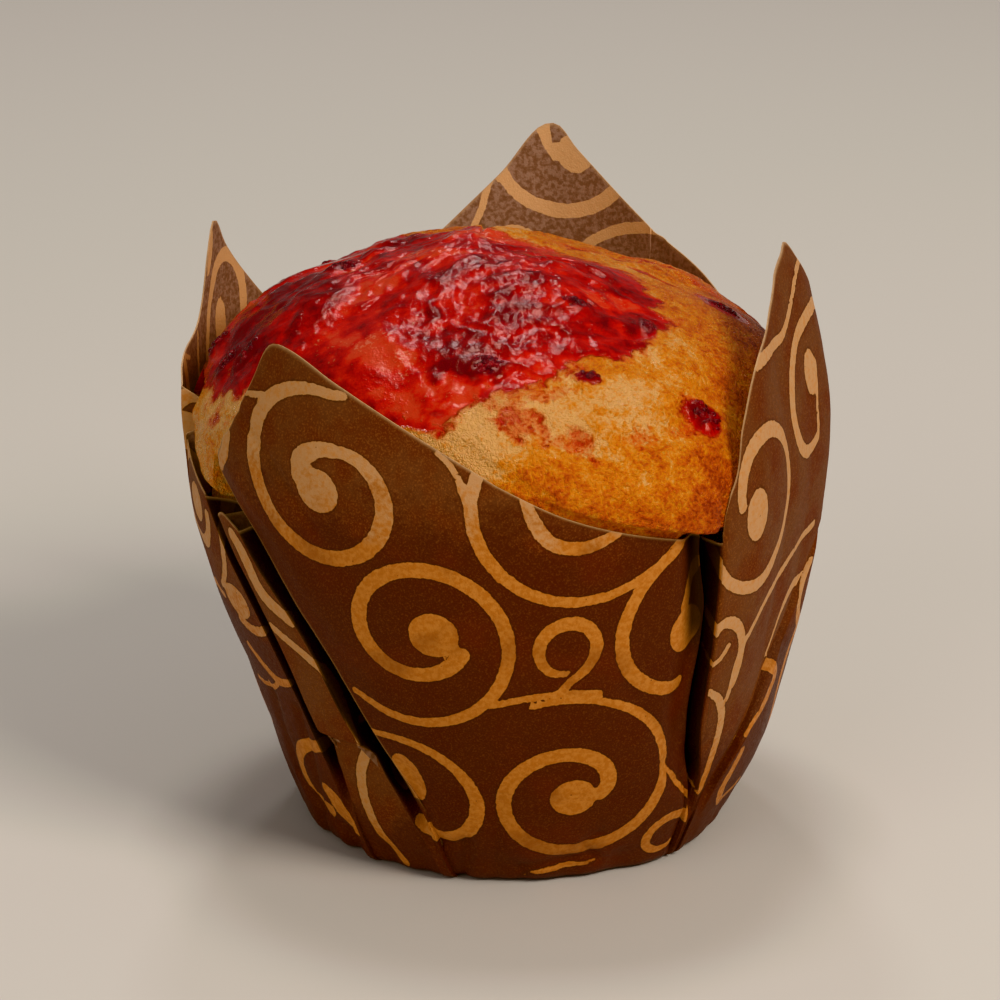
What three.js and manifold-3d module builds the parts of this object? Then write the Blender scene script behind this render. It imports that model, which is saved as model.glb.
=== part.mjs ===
// A raspberry muffin in a tulip baking case. Millimetres, +Z up, +X to the right, -Y to the front.
// The case is one square sheet of parchment pressed round a flat base, so that its four corners
// stand up as petals and the spare paper between them lies in pleats. The origin is the middle of
// the base, on the surface that the muffin stands on. Azimuths are degrees from +X, seen from above.
import * as THREE from "three";
import { mergeVertices } from "three/addons/utils/BufferGeometryUtils.js";
import Module from "manifold-3d";

// Case: the wall before it is pleated
const BASE_RADIUS = 24.5;
const WALL_FLARE = 11.7;
const FLARE_POWER = 0.85;
const BELLY_HEIGHT = 47;
const CLOSING = 3.9;
const CLOSING_HEIGHT = 19;
const CLOSING_POWER = 1.6;
// How much the wall bulges at the left and right sides: height, left, right
const SIDE_BULGES = [[0, 0, 0], [6, -0.8, 0], [12, -1.4, -0.1], [20, -1.3, -0.5], [28, -0.1, -0.8],
  [36, 0.8, -0.9], [48, 0.9, -0.9]];
const SIDE_POWER = 1.5;
// The right panel is nearly flat: azimuth, and how far it stands out (+) or in (-) of the round wall
const FLATS = [[0, 0], [305, 0], [307.5, 1], [318, 0.2], [332, -1.8], [345, -1.5], [356, 0], [360, 0]];
const FLAT_START = [10, 26];
const FLAT_END = [54, 68];
const PAPER = 0.4;
const ROWS = 13;
const ROW_POWER = 1.15;
const COLUMN_SPACING = 8;

// How far each part of the rim leans out (+) or in (-): azimuth, then lean at LEAN_SPAN above LEAN_START
const LEAN_START = 42;
const LEAN_SPAN = 24;
const LEAN_POWER = 1.5;
const MOST_LEAN = 1.3;
const LEANS = [[0, -0.6], [10, 0.5], [50, 4], [84, 8], [120, 6], [158, 4], [185, 2.5], [204, 0], [300, 0],
  [320, -1], [340, -1.8], [357, -0.8], [360, -0.6]];

// Pleats, counter-clockwise from the right. Each is drawn by three fold lines, given as azimuths at
// LINE_HEIGHTS: the edge met first, the bottom of the fold and the edge met last. Where the bottom
// lies outside the two edges, the paper is folded under. The depth grows from foot to full.
const LINE_HEIGHTS = [0, 10, 20, 30, 40, 50];
const PLEATS = [
  { first: [28, 29, 31, 33.5, 35.5, 37], bottom: [28.8, 30.2, 32.5, 35, 37, 38.5],
    last: [29.5, 31.5, 34, 36.5, 38.5, 40], depth: 4, foot: 3, full: 22, rim: 43.5 },
  { first: [52, 53, 55, 57, 59, 61], bottom: [52.8, 54.2, 56.5, 58.5, 60.5, 62.5],
    last: [53.5, 55.5, 58, 60, 62, 64], depth: 3.5, foot: 3, full: 22, rim: 56.5 },
  { first: [106, 107, 109, 111, 113, 115], bottom: [106.8, 108.2, 110.5, 112.5, 114.5, 116.5],
    last: [107.5, 109.5, 112, 114, 116, 118], depth: 4, foot: 3, full: 22, rim: 50.5 },
  { first: [130, 130, 131, 131, 132, 132], bottom: [130.8, 131.2, 132.5, 132.5, 133.5, 133.5],
    last: [131.5, 132.5, 134, 134, 135, 135], depth: 3.5, foot: 3, full: 22, rim: 48 },
  { first: [176, 177, 179, 182, 185.5, 187], bottom: [177, 178.5, 181, 184, 188, 190],
    last: [178, 180, 183, 186, 190, 192], depth: 3.5, foot: 8, full: 38, rim: 47.5 },
  { first: [229, 228.3, 225, 217.9, 202, 188], bottom: [229.6, 228.8, 226, 218.8, 203.5, 190],
    last: [230.4, 229.8, 227.7, 221, 205.6, 192], depth: 3.2, foot: 5, full: 22, rim: 40.2 },
  { first: [252, 246, 237.2, 228.8, 216, 203], bottom: [253, 248.5, 238.6, 229.2, 211, 198],
    last: [254, 253, 245.5, 233.9, 222.6, 201], depth: 5, foot: 4, full: 18, rim: 41.4 },
  { first: [314.3, 312.9, 306.8, 304.4, 300.8, 298], bottom: [315, 313.9, 309.6, 307.4, 306.8, 306],
    last: [315.5, 314.2, 308.8, 306.5, 305.6, 304.6], depth: 4.6, foot: 4, full: 20, rim: 40.6 },
  { first: [316.4, 315.6, 322, 343.5, 362, 375], bottom: [317, 319.5, 326, 344.8, 363.3, 376.5],
    last: [317.6, 323, 331, 346, 364.5, 378], depth: 3, foot: 5, full: 17, rim: 53.5 },
];

// Panels of paper between the pleats, the first one just before the first pleat. Each is a list of
// azimuth and height along the sheet's edge, from the pleat before it to the pleat after it.
const PANELS = [
  [[378, 54], [391, 42.8], [395.8, 45.2]],
  [[39.2, 47], [52, 54.3], [60, 57.4]],
  [[62.8, 58.6], [69.8, 61.7], [76.4, 66.4], [81.1, 69.3], [83.5, 70.1], [86.3, 69], [92.3, 64.3],
    [101.5, 58.7], [114.6, 51.4]],
  [[117.4, 49.8], [126, 44.5], [132, 47.6]],
  [[135, 49.2], [142, 53.8], [153.5, 61.9], [156.6, 64.6], [158, 65.2], [159.3, 64.2], [160.8, 60.8],
    [163.2, 55.8], [165.9, 53.8], [170, 53], [177.8, 52.6], [187, 51]],
  [[190.8, 46.5], [194, 44], [202.2, 41.6]],
  [[205.8, 40.2], [211, 41], [216.4, 39.8]],
  [[208, 45.6], [212.8, 50.8], [215.9, 54.6], [218.2, 57.5], [219.7, 60.3], [221, 61.2], [222.5, 61.4],
    [226.4, 61.1], [236.1, 59.1], [246.8, 56.4], [263.8, 51], [277.9, 46.4], [287.1, 44.4], [300.6, 42.2]],
  [[305.6, 41.2], [307, 45.1], [309.8, 48.6], [312.1, 53], [319.1, 58.2], [327.8, 61], [336, 64.2],
    [343.4, 66.2], [348, 66.9], [351.6, 67.5], [354, 66.8], [358, 64.6], [366, 60.9], [375, 56]],
];

// Cake
const CLEARANCE = 0.4;
const CAKE_COLUMNS = 72;
const CAKE_SIDE_ROWS = 9;
const CAKE_DOME_ROWS = 14;
const FOOT_ROUNDING = 1.6;
const DOME_START = 41;
const DOME_ROW_POWER = 1.35;
const DOME_CENTRE = [-4, 1];
const DOME_TOP = 65.5;
const DOME_SQUARENESS = 1.0;
const GROOVE_MARGIN = 5;
const GROOVE_RAMP = 3;
// The cake keeps RIM_GAP above the paper's edge, and from there it may swell over it by OVERHANG
const RIM_GAP = 0.7;
const RIM_REACH = 3;
const LOWEST_RIM = 40;
const EDGE_OVERLAP = 1.5;
const OVERHANG = 4;
const OVERHANG_RISE = 1.4;
// Azimuth, radius of the shoulder and height of the shoulder
const SHOULDERS = [[0, 34.4, 41.5], [45, 35.5, 41.5], [90, 36, 42], [135, 36.2, 43], [180, 36.5, 45],
  [225, 36, 45], [270, 37, 43], [300, 37.5, 42.5], [330, 35, 43], [360, 34.4, 41.5]];
const SHOULDER_ROWS = 3;
// Waves that make the crust uneven: height, turns across and back, and phase
const LUMPS = [[0.5, 0.21, 0.05, 1.3], [0.35, 0.06, 0.18, 2], [0.25, 0.43, -0.27, 2.1],
  [0.2, -0.2, 0.4, 0.6]];

// Raspberry pieces baked into the top: place across, place back, radius, how far each stands proud
const BERRIES = [[19.8, -23.8, 2.1, 0.5], [23.4, 3.1, 2.3, 0.5], [7.3, -13.9, 1.8, 0.4],
  [7.6, -25.7, 1.5, 0.4], [-3.8, -24.4, 2.1, 0.5], [14.3, -13.9, 1.7, 0.5], [-28.8, -8.5, 2, 0.5],
  [-24, -10.5, 1.9, 0.5], [-21, -3, 1.8, 0.5], [-16, 5, 1.8, 0.5], [3, 21, 2, 0.5],
  [-13, 17, 1.7, 0.4], [21, 19, 1.6, 0.4]];
const BERRY_DETAIL = 1;
const MERGE_DISTANCE = 1e-5;

const PAPER_MATERIAL = new THREE.MeshStandardMaterial({ color: 0x49301f, roughness: 0.6, metalness: 0 });
const CAKE_MATERIAL = new THREE.MeshStandardMaterial({ color: 0xc4762f, roughness: 0.6, metalness: 0 });

const radians = THREE.MathUtils.degToRad;
const clamp = THREE.MathUtils.clamp;
const lerp = THREE.MathUtils.lerp;

/** Value of column `index` in sorted rows, joined by straight lines over column 0. */
function along(rows, place, index = 1) {
  const at = rows.findIndex((row) => row[0] > place);
  if (at === 0) {
    return rows[0][index];
  }
  if (at < 0) {
    return rows[rows.length - 1][index];
  }
  const [low, high] = [rows[at - 1], rows[at]];
  return lerp(low[index], high[index], (place - low[0]) / (high[0] - low[0]));
}

/** Azimuth brought into 0 to 360 degrees. */
function wrapped(azimuth) {
  return ((azimuth % 360) + 360) % 360;
}

/** Radius of the unpleated wall at a height. */
function wallRadius(z) {
  if (z < BELLY_HEIGHT) {
    const rise = Math.sin((Math.PI / 2) * (Math.max(z, 0) / BELLY_HEIGHT));
    return BASE_RADIUS + WALL_FLARE * rise ** FLARE_POWER;
  }
  return BASE_RADIUS + WALL_FLARE - CLOSING * ((z - BELLY_HEIGHT) / CLOSING_HEIGHT) ** CLOSING_POWER;
}

/** Radius of the outside of the paper, with the lean of its petals, before the pleats. */
function paperRadius(azimuth, z) {
  const above = clamp((z - LEAN_START) / LEAN_SPAN, 0, MOST_LEAN);
  const lean = along(LEANS, wrapped(azimuth)) * above ** LEAN_POWER;
  const facing = Math.cos(radians(azimuth));
  const bulge = along(SIDE_BULGES, z, facing < 0 ? 1 : 2) * Math.abs(facing) ** SIDE_POWER;
  const flat = along(FLATS, wrapped(azimuth)) * THREE.MathUtils.smoothstep(z, ...FLAT_START)
    * (1 - THREE.MathUtils.smoothstep(z, ...FLAT_END));
  return wallRadius(z) + bulge + lean + flat;
}

/** Azimuth of a fold line at a height, joined smoothly between the heights where it is given. */
function foldLine(line, z) {
  const last = line.length - 1;
  const place = clamp((z / LINE_HEIGHTS[last]) * last, 0, last);
  const at = Math.min(Math.floor(place), last - 1);
  const part = place - at;
  const slope = (index) => (index === 0 ? line[1] - line[0]
    : index === last ? line[last] - line[last - 1] : (line[index + 1] - line[index - 1]) / 2);
  const square = part * part;
  const cube = square * part;
  return (2 * cube - 3 * square + 1) * line[at] + (cube - 2 * square + part) * slope(at)
    + (3 * square - 2 * cube) * line[at + 1] + (cube - square) * slope(at + 1);
}

/** Depth of a pleat at a height. */
function pleatDepth(pleat, z) {
  return pleat.depth * THREE.MathUtils.smoothstep(z, pleat.foot, pleat.full);
}

/** The sheet's columns in order round the case: the rim height of each, and where it runs. */
function sheetColumns() {
  const columns = [];
  PANELS.forEach((edge, index) => {
    const before = PLEATS[(index + PLEATS.length - 1) % PLEATS.length];
    const after = PLEATS[index];
    const turn = index === 0 ? 360 : 0;
    const start = (z) => foldLine(before.last, z);
    const end = (z) => foldLine(after.first, z) + turn;
    const across = edge.map(([azimuth, rim], knot) => {
      if (knot === 0 || knot === edge.length - 1) {
        return Math.sign(knot);
      }
      return (azimuth - start(rim)) / (end(rim) - start(rim));
    });
    const widest = Math.max(...LINE_HEIGHTS.map((z) => end(z) - start(z)));
    edge.forEach(([, rim], knot) => {
      const last = knot === edge.length - 1;
      const pieces = last ? 1 : Math.ceil(((across[knot + 1] - across[knot]) * widest) / COLUMN_SPACING);
      for (let piece = 0; piece < pieces; piece += 1) {
        const height = last ? rim : lerp(rim, edge[knot + 1][1], piece / pieces);
        const share = last ? 1 : lerp(across[knot], across[knot + 1], piece / pieces);
        columns.push({ rim: height, depth: () => 0, azimuth: (z) => lerp(start(z), end(z), share) });
      }
    });
    columns.push({
      rim: after.rim,
      depth: (z) => pleatDepth(after, z),
      azimuth: (z) => foldLine(after.bottom, z) + turn,
    });
  });
  return columns;
}

/** Plan of the folded sheet along one row of points, as closed outer and inner loops. */
function sheetLoops(columns, part) {
  const place = (column, z) => {
    const azimuth = column.azimuth(z);
    const radius = paperRadius(azimuth, z) - column.depth(z);
    return new THREE.Vector3(radius * Math.cos(radians(azimuth)), radius * Math.sin(radians(azimuth)), z);
  };
  const outer = columns.map((column) => place(column, column.rim * part));
  const lifted = columns.map((column) => place(column, lerp(PAPER, column.rim, part)));
  const inner = lifted.map((point, index) => {
    const sides = [lifted[(index + lifted.length - 1) % lifted.length], lifted[(index + 1) % lifted.length]];
    const normal = new THREE.Vector2(0, 0);
    sides.forEach((side, which) => {
      const way = new THREE.Vector2(side.x - point.x, side.y - point.y).normalize();
      const sign = which === 0 ? -1 : 1;
      normal.add(new THREE.Vector2(way.y * sign, -way.x * sign));
    });
    normal.normalize().multiplyScalar(PAPER);
    return new THREE.Vector3(point.x - normal.x, point.y - normal.y, point.z);
  });
  return { outer, inner };
}

/** A geometry from points and triangles. */
function solid(points, triangles) {
  const geometry = new THREE.BufferGeometry();
  const values = points.flatMap((point) => point.toArray());
  geometry.setAttribute("position", new THREE.Float32BufferAttribute(values, 3));
  geometry.setIndex(triangles);
  geometry.computeVertexNormals();
  return geometry;
}

/** Triangles of a band between two closed loops of points, split along the shorter diagonals. */
function band(points, triangles, lower, upper, count) {
  for (let index = 0; index < count; index += 1) {
    const next = (index + 1) % count;
    const [a, b, c, d] = [lower + index, lower + next, upper + next, upper + index];
    if (points[a].distanceTo(points[c]) < points[b].distanceTo(points[d])) {
      triangles.push(a, b, c, a, c, d);
    } else {
      triangles.push(a, b, d, b, c, d);
    }
  }
}

/** The case: a folded sheet with an outside, an inside, a rim and a flat base. */
function paperCase() {
  const columns = sheetColumns();
  const count = columns.length;
  const parts = Array.from({ length: ROWS + 1 }, (_, row) => (row / ROWS) ** ROW_POWER);
  const loops = parts.map((part) => sheetLoops(columns, part));
  const points = [...loops.flatMap((loop) => loop.outer), ...loops.reverse().flatMap((loop) => loop.inner)];
  const triangles = [];
  for (let row = 0; row < 2 * parts.length - 1; row += 1) {
    band(points, triangles, row * count, (row + 1) * count, count);
  }
  const under = points.push(new THREE.Vector3(0, 0, 0)) - 1;
  const over = points.push(new THREE.Vector3(0, 0, PAPER)) - 1;
  const innerBase = (2 * parts.length - 1) * count;
  for (let index = 0; index < count; index += 1) {
    const next = (index + 1) % count;
    triangles.push(under, next, index);
    triangles.push(over, innerBase + index, innerBase + next);
  }
  return solid(points, triangles);
}

/** How far the cake is pressed in by the pleats at a place on its side. */
function grooveDepth(azimuth, z) {
  let depth = 0;
  PLEATS.forEach((pleat, index) => {
    const edges = [PANELS[index].at(-1)[1], pleat.rim, PANELS[(index + 1) % PANELS.length][0][1]];
    const open = Math.max(...edges) + RIM_GAP;
    const lines = [pleat.first, pleat.bottom, pleat.last].map((line) => foldLine(line, z));
    const low = Math.min(...lines) - GROOVE_MARGIN;
    const high = Math.max(...lines) + GROOVE_MARGIN;
    const middle = (low + high) / 2;
    const away = Math.abs(((wrapped(azimuth - middle) + 180) % 360) - 180) - (high - low) / 2;
    const share = 1 - THREE.MathUtils.smoothstep(away, 0, GROOVE_RAMP);
    const above = THREE.MathUtils.smoothstep(z, open, open + OVERHANG_RISE);
    depth = Math.max(depth, pleatDepth(pleat, z) * share * (1 - above));
  });
  return depth;
}

/** Height of the sheet's edge at an azimuth, as the highest panel there. */
function rimHeight(azimuth) {
  let height = 0;
  PANELS.forEach((edge) => {
    const place = azimuth < edge[0][0] ? azimuth + 360 : azimuth;
    if (place >= edge[0][0] - EDGE_OVERLAP && place <= edge.at(-1)[0] + EDGE_OVERLAP) {
      height = Math.max(height, along(edge, place));
    }
  });
  return Math.max(height, LOWEST_RIM);
}

/** Largest radius that the cake may have inside the paper. */
function cakeLimit(azimuth, z) {
  const inside = paperRadius(azimuth, z) - PAPER - CLEARANCE;
  const nearby = [-1, -0.5, 0, 0.5, 1].map((step) => rimHeight(wrapped(azimuth + step * RIM_REACH)));
  const rim = Math.max(...nearby);
  const free = THREE.MathUtils.smoothstep(z, rim + RIM_GAP, rim + RIM_GAP + OVERHANG_RISE);
  return inside - grooveDepth(azimuth, z) * (1 - free) + OVERHANG * free;
}

/** Uneven crust: how far the top stands out of its even shape. */
function lumps(x, y) {
  return LUMPS.reduce((sum, [height, across, back, phase]) =>
    sum + height * Math.sin(across * x + back * y + phase), 0);
}

/** The cake without its berries: a flat foot, a side that follows the paper, and a risen dome. */
function cakeBody() {
  const points = [];
  const triangles = [];
  const bottom = PAPER + CLEARANCE;
  const heights = Array.from({ length: CAKE_SIDE_ROWS }, (_, row) =>
    lerp(bottom + FOOT_ROUNDING, DOME_START, row / CAKE_SIDE_ROWS));
  const ring = (place) => {
    for (let column = 0; column < CAKE_COLUMNS; column += 1) {
      points.push(place((column * 360) / CAKE_COLUMNS));
    }
  };
  const polar = (azimuth, radius, z, centre = [0, 0]) => new THREE.Vector3(
    centre[0] + radius * Math.cos(radians(azimuth)), centre[1] + radius * Math.sin(radians(azimuth)), z);
  ring((azimuth) => polar(azimuth, cakeLimit(azimuth, bottom) - FOOT_ROUNDING, bottom));
  heights.forEach((z) => ring((azimuth) => polar(azimuth, cakeLimit(azimuth, z), z)));
  for (let row = 0; row < CAKE_DOME_ROWS; row += 1) {
    const turn = (Math.PI / 2) * (row / CAKE_DOME_ROWS) ** DOME_ROW_POWER;
    ring((azimuth) => {
      const reach = along(SHOULDERS, azimuth, 1);
      const shoulder = along(SHOULDERS, azimuth, 2);
      const out = Math.cos(turn) ** DOME_SQUARENESS;
      const up = Math.sin(turn);
      const start = lerp(DOME_START, shoulder, Math.min(row / SHOULDER_ROWS, 1));
      const lump = lumps(reach * out * Math.cos(radians(azimuth)), reach * out * Math.sin(radians(azimuth)));
      const z = start + (DOME_TOP - start) * up + lump * up;
      const radius = Math.min(reach * out, cakeLimit(azimuth, z));
      return polar(azimuth, radius, z, DOME_CENTRE.map((value) => value * (1 - out)));
    });
  }
  const rings = points.length / CAKE_COLUMNS;
  for (let row = 0; row < rings - 1; row += 1) {
    band(points, triangles, row * CAKE_COLUMNS, (row + 1) * CAKE_COLUMNS, CAKE_COLUMNS);
  }
  const foot = points.push(new THREE.Vector3(0, 0, bottom)) - 1;
  const crown = points.push(new THREE.Vector3(...DOME_CENTRE, DOME_TOP + lumps(...DOME_CENTRE))) - 1;
  const lastRing = (rings - 1) * CAKE_COLUMNS;
  for (let column = 0; column < CAKE_COLUMNS; column += 1) {
    const next = (column + 1) % CAKE_COLUMNS;
    triangles.push(foot, next, column);
    triangles.push(crown, lastRing + column, lastRing + next);
  }
  return solid(points, triangles);
}

/** Height of a solid's top above a place, from its own triangles. */
function topHeight(mesh, x, y) {
  const caster = new THREE.Raycaster(new THREE.Vector3(x, y, 2 * DOME_TOP), new THREE.Vector3(0, 0, -1));
  return caster.intersectObject(mesh)[0].point.z;
}

const wasm = await Module();
wasm.setup();

/** A closed geometry as a solid that can be joined. */
function toManifold(geometry) {
  const bare = geometry.clone();
  ["normal", "uv"].forEach((name) => bare.deleteAttribute(name));
  const merged = mergeVertices(bare, MERGE_DISTANCE);
  return new wasm.Manifold(new wasm.Mesh({
    numProp: 3,
    vertProperties: new Float32Array(merged.attributes.position.array),
    triVerts: new Uint32Array(merged.index.array),
  }));
}

/** The cake with its berries joined on. */
function muffin() {
  const body = cakeBody();
  const probe = new THREE.Mesh(body);
  let whole = toManifold(body);
  BERRIES.forEach(([x, y, radius, proud]) => {
    const berry = new THREE.IcosahedronGeometry(radius, BERRY_DETAIL);
    berry.translate(x, y, topHeight(probe, x, y) + proud - radius);
    whole = whole.add(toManifold(berry));
  });
  const { vertProperties, triVerts } = whole.getMesh();
  const geometry = new THREE.BufferGeometry();
  geometry.setAttribute("position", new THREE.BufferAttribute(vertProperties, 3));
  geometry.setIndex(new THREE.BufferAttribute(triVerts, 1));
  geometry.computeVertexNormals();
  return geometry;
}

const group = new THREE.Group();
[["muffin", muffin(), CAKE_MATERIAL], ["paper_case", paperCase(), PAPER_MATERIAL]].forEach(
  ([name, geometry, material]) => {
    const mesh = new THREE.Mesh(geometry, material);
    mesh.name = name;
    group.add(mesh);
  });

export default group;
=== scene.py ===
"""A raspberry muffin in a tulip baking case, dressed around its solid model.

Lengths are millimetres and angles are degrees until a mesh is made, and meshes are in metres.
Azimuths run counter-clockwise from +X, seen from above, and +Z is up. The case is one printed
square sheet, so its print is laid out on the flat sheet and follows the paper into its folds.
"""

import logging
import math
from collections.abc import Mapping, Sequence
from dataclasses import dataclass, field
from enum import Enum
from typing import Union

import bpy
import numpy as np
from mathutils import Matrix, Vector
from mathutils.bvhtree import BVHTree


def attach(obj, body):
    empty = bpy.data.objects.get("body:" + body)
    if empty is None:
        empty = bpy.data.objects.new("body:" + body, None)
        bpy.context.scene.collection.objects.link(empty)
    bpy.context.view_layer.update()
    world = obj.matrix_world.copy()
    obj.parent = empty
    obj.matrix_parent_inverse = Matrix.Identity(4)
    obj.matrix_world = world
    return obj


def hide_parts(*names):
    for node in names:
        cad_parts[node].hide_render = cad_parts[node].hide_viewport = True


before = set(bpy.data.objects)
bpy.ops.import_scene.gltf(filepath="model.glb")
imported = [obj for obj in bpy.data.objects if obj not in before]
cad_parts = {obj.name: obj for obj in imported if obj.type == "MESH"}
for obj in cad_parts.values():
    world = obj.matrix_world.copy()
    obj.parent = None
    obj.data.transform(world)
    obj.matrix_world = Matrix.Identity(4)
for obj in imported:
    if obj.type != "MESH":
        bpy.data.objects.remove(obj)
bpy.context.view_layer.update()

MM = 0.001
BODY = "root"
CREASE_ANGLE = 50.0
TINY = 1e-9

LOG = logging.getLogger("muffin")

Value = Union["Wire", float]
Colour = tuple[float, float, float]
Rows = tuple[tuple[float, ...], ...]
Place = tuple[float, float]
Span = tuple[float, float]
Pair = tuple[np.ndarray, np.ndarray]


class Slot(Enum):
    """Material slot names of the record, which this script does not use."""

    CAKE = "cake"
    PAPER = "paper"


# ---- Number helpers ----


def along(rows: Rows, place: np.ndarray, column: int = 1) -> np.ndarray:
    """Looks up a column of a table, joined by straight lines over its first column.

    Args:
        rows: Rows sorted by their first value.
        place: Where to look.
        column: Which column to read.

    Returns:
        The values at the places.
    """
    table = np.array(rows, float)
    return np.interp(place, table[:, 0], table[:, column])


def smoothstep(value: np.ndarray, low: float, high: float) -> np.ndarray:
    """Rises smoothly from 0 at low to 1 at high.

    Args:
        value: Numbers to place.
        low: Where the rise starts.
        high: Where the rise ends.

    Returns:
        The share risen, from 0 to 1.
    """
    share = np.clip((np.asarray(value, float) - low) / (high - low), 0, 1)
    return share * share * (3 - 2 * share)


def eased(knots: np.ndarray, heights: np.ndarray, place: np.ndarray) -> np.ndarray:
    """Joins knots by a smooth curve that never overshoots them.

    Args:
        knots: Sorted places of the knots.
        heights: Values at the knots.
        place: Where the curve is wanted.

    Returns:
        The curve's values.
    """
    gaps = np.diff(knots)
    rises = np.diff(heights) / gaps
    slopes = np.concatenate([rises[:1], np.zeros(len(knots) - 2), rises[-1:]])
    same_way = rises[:-1] * rises[1:] > 0
    total = np.where(same_way, rises[:-1] + rises[1:], 1)
    slopes[1:-1] = np.where(same_way, 2 * rises[:-1] * rises[1:] / total, 0)
    at = np.clip(np.searchsorted(knots, place, side="right") - 1, 0, len(knots) - 2)
    part = (place - knots[at]) / gaps[at]
    ends = (heights[at], heights[at + 1])
    return curved(part, ends, (slopes[at] * gaps[at], slopes[at + 1] * gaps[at]))


def polar(azimuth: np.ndarray, radius: np.ndarray, z: np.ndarray) -> np.ndarray:
    """Points from azimuths, radii and heights."""
    turn = np.radians(azimuth)
    return np.stack(np.broadcast_arrays(radius * np.cos(turn), radius * np.sin(turn), z), axis=-1)


def crowded(count: int, pull: float) -> np.ndarray:
    """Shares from 0 to 1, closer together near both ends.

    Args:
        count: How many steps there are.
        pull: How strongly the ends draw the shares, from 0 to below 1.

    Returns:
        count shares, without the last one.
    """
    even = np.arange(count) / count
    return even - pull * np.sin(2 * np.pi * even) / (2 * np.pi)


def unit(vectors: np.ndarray) -> np.ndarray:
    """Brings vectors to a length of 1.

    Args:
        vectors: The vectors, along the last axis.

    Returns:
        The same vectors with a length of 1.
    """
    return vectors / np.maximum(np.linalg.norm(vectors, axis=-1, keepdims=True), TINY)


def turned(right: np.ndarray, up: np.ndarray, angle: float) -> Pair:
    """Measures places along turned axes.

    Args:
        right: How far to the right the places are.
        up: How far up they are.
        angle: How far the axes are turned.

    Returns:
        Right and up along the turned axes.
    """
    turn = math.radians(angle)
    return (
        right * math.cos(turn) + up * math.sin(turn),
        up * math.cos(turn) - right * math.sin(turn),
    )


def curved(part: np.ndarray, heights: Pair, slopes: Pair) -> np.ndarray:
    """Runs smoothly from one height to another.

    Args:
        part: Shares of the way, from 0 to 1.
        heights: Heights at its start and end.
        slopes: Slopes at its start and end, over the whole way.

    Returns:
        The heights at the shares.
    """
    square, cube = part**2, part**3
    return (
        (2 * cube - 3 * square + 1) * heights[0]
        + (cube - 2 * square + part) * slopes[0]
        + (3 * square - 2 * cube) * heights[1]
        + (cube - square) * slopes[1]
    )


def line_gaps(places: np.ndarray, starts: np.ndarray, ways: np.ndarray) -> Pair:
    """Measures from places to the pieces of a line.

    Args:
        places: Right and up of the places, along the last axis.
        starts: Where the pieces start.
        ways: How far to the right and up they go.

    Returns:
        The distance to each piece, and how far along it its nearest place lies, from 0 to 1.
    """
    offset = places[..., None, :] - starts
    share = np.clip((offset * ways).sum(-1) / np.maximum((ways**2).sum(-1), TINY), 0, 1)
    return np.linalg.norm(offset - share[..., None] * ways, axis=-1), share


@dataclass
class Unevenness:
    """Smooth seeded noise in space, from -1 to 1."""

    seed: int
    CELLS = 256
    LAYER_SHIFT = 17.3

    def __post_init__(self) -> None:
        """Draws the lattice."""
        draw = np.random.default_rng(self.seed)
        self.order = draw.permutation(self.CELLS)
        self.heights = draw.uniform(-1, 1, self.CELLS)

    def at(self, points: np.ndarray, size: float, octaves: int = 1) -> np.ndarray:
        """Reads the noise.

        Args:
            points: Places, one to a row.
            size: Width of the largest lumps.
            octaves: How many layers, each half as wide and half as high as the one before.

        Returns:
            One value for each place.
        """
        total = np.zeros(points.shape[:-1])
        share = 1.0
        for octave in range(octaves):
            places = points * 2**octave / size + self.LAYER_SHIFT * octave
            total = total + share * self._layer(places)
            share *= 0.5
        return total / (2 - 2 * share)

    def _layer(self, places: np.ndarray) -> np.ndarray:
        """One layer of noise with lumps of one unit."""
        corner = np.floor(places).astype(int)
        part = places - corner
        part = part**3 * (part * (part * 6 - 15) + 10)
        total = np.zeros(places.shape[:-1])
        for step in np.ndindex(2, 2, 2):
            weight = np.prod(np.where(step, part, 1 - part), axis=-1)
            cell = (corner + step) % self.CELLS
            picked = self.order[cell[..., 0]]
            picked = self.order[(picked + cell[..., 1]) % self.CELLS]
            picked = self.order[(picked + cell[..., 2]) % self.CELLS]
            total = total + weight * self.heights[picked]
        return total


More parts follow.
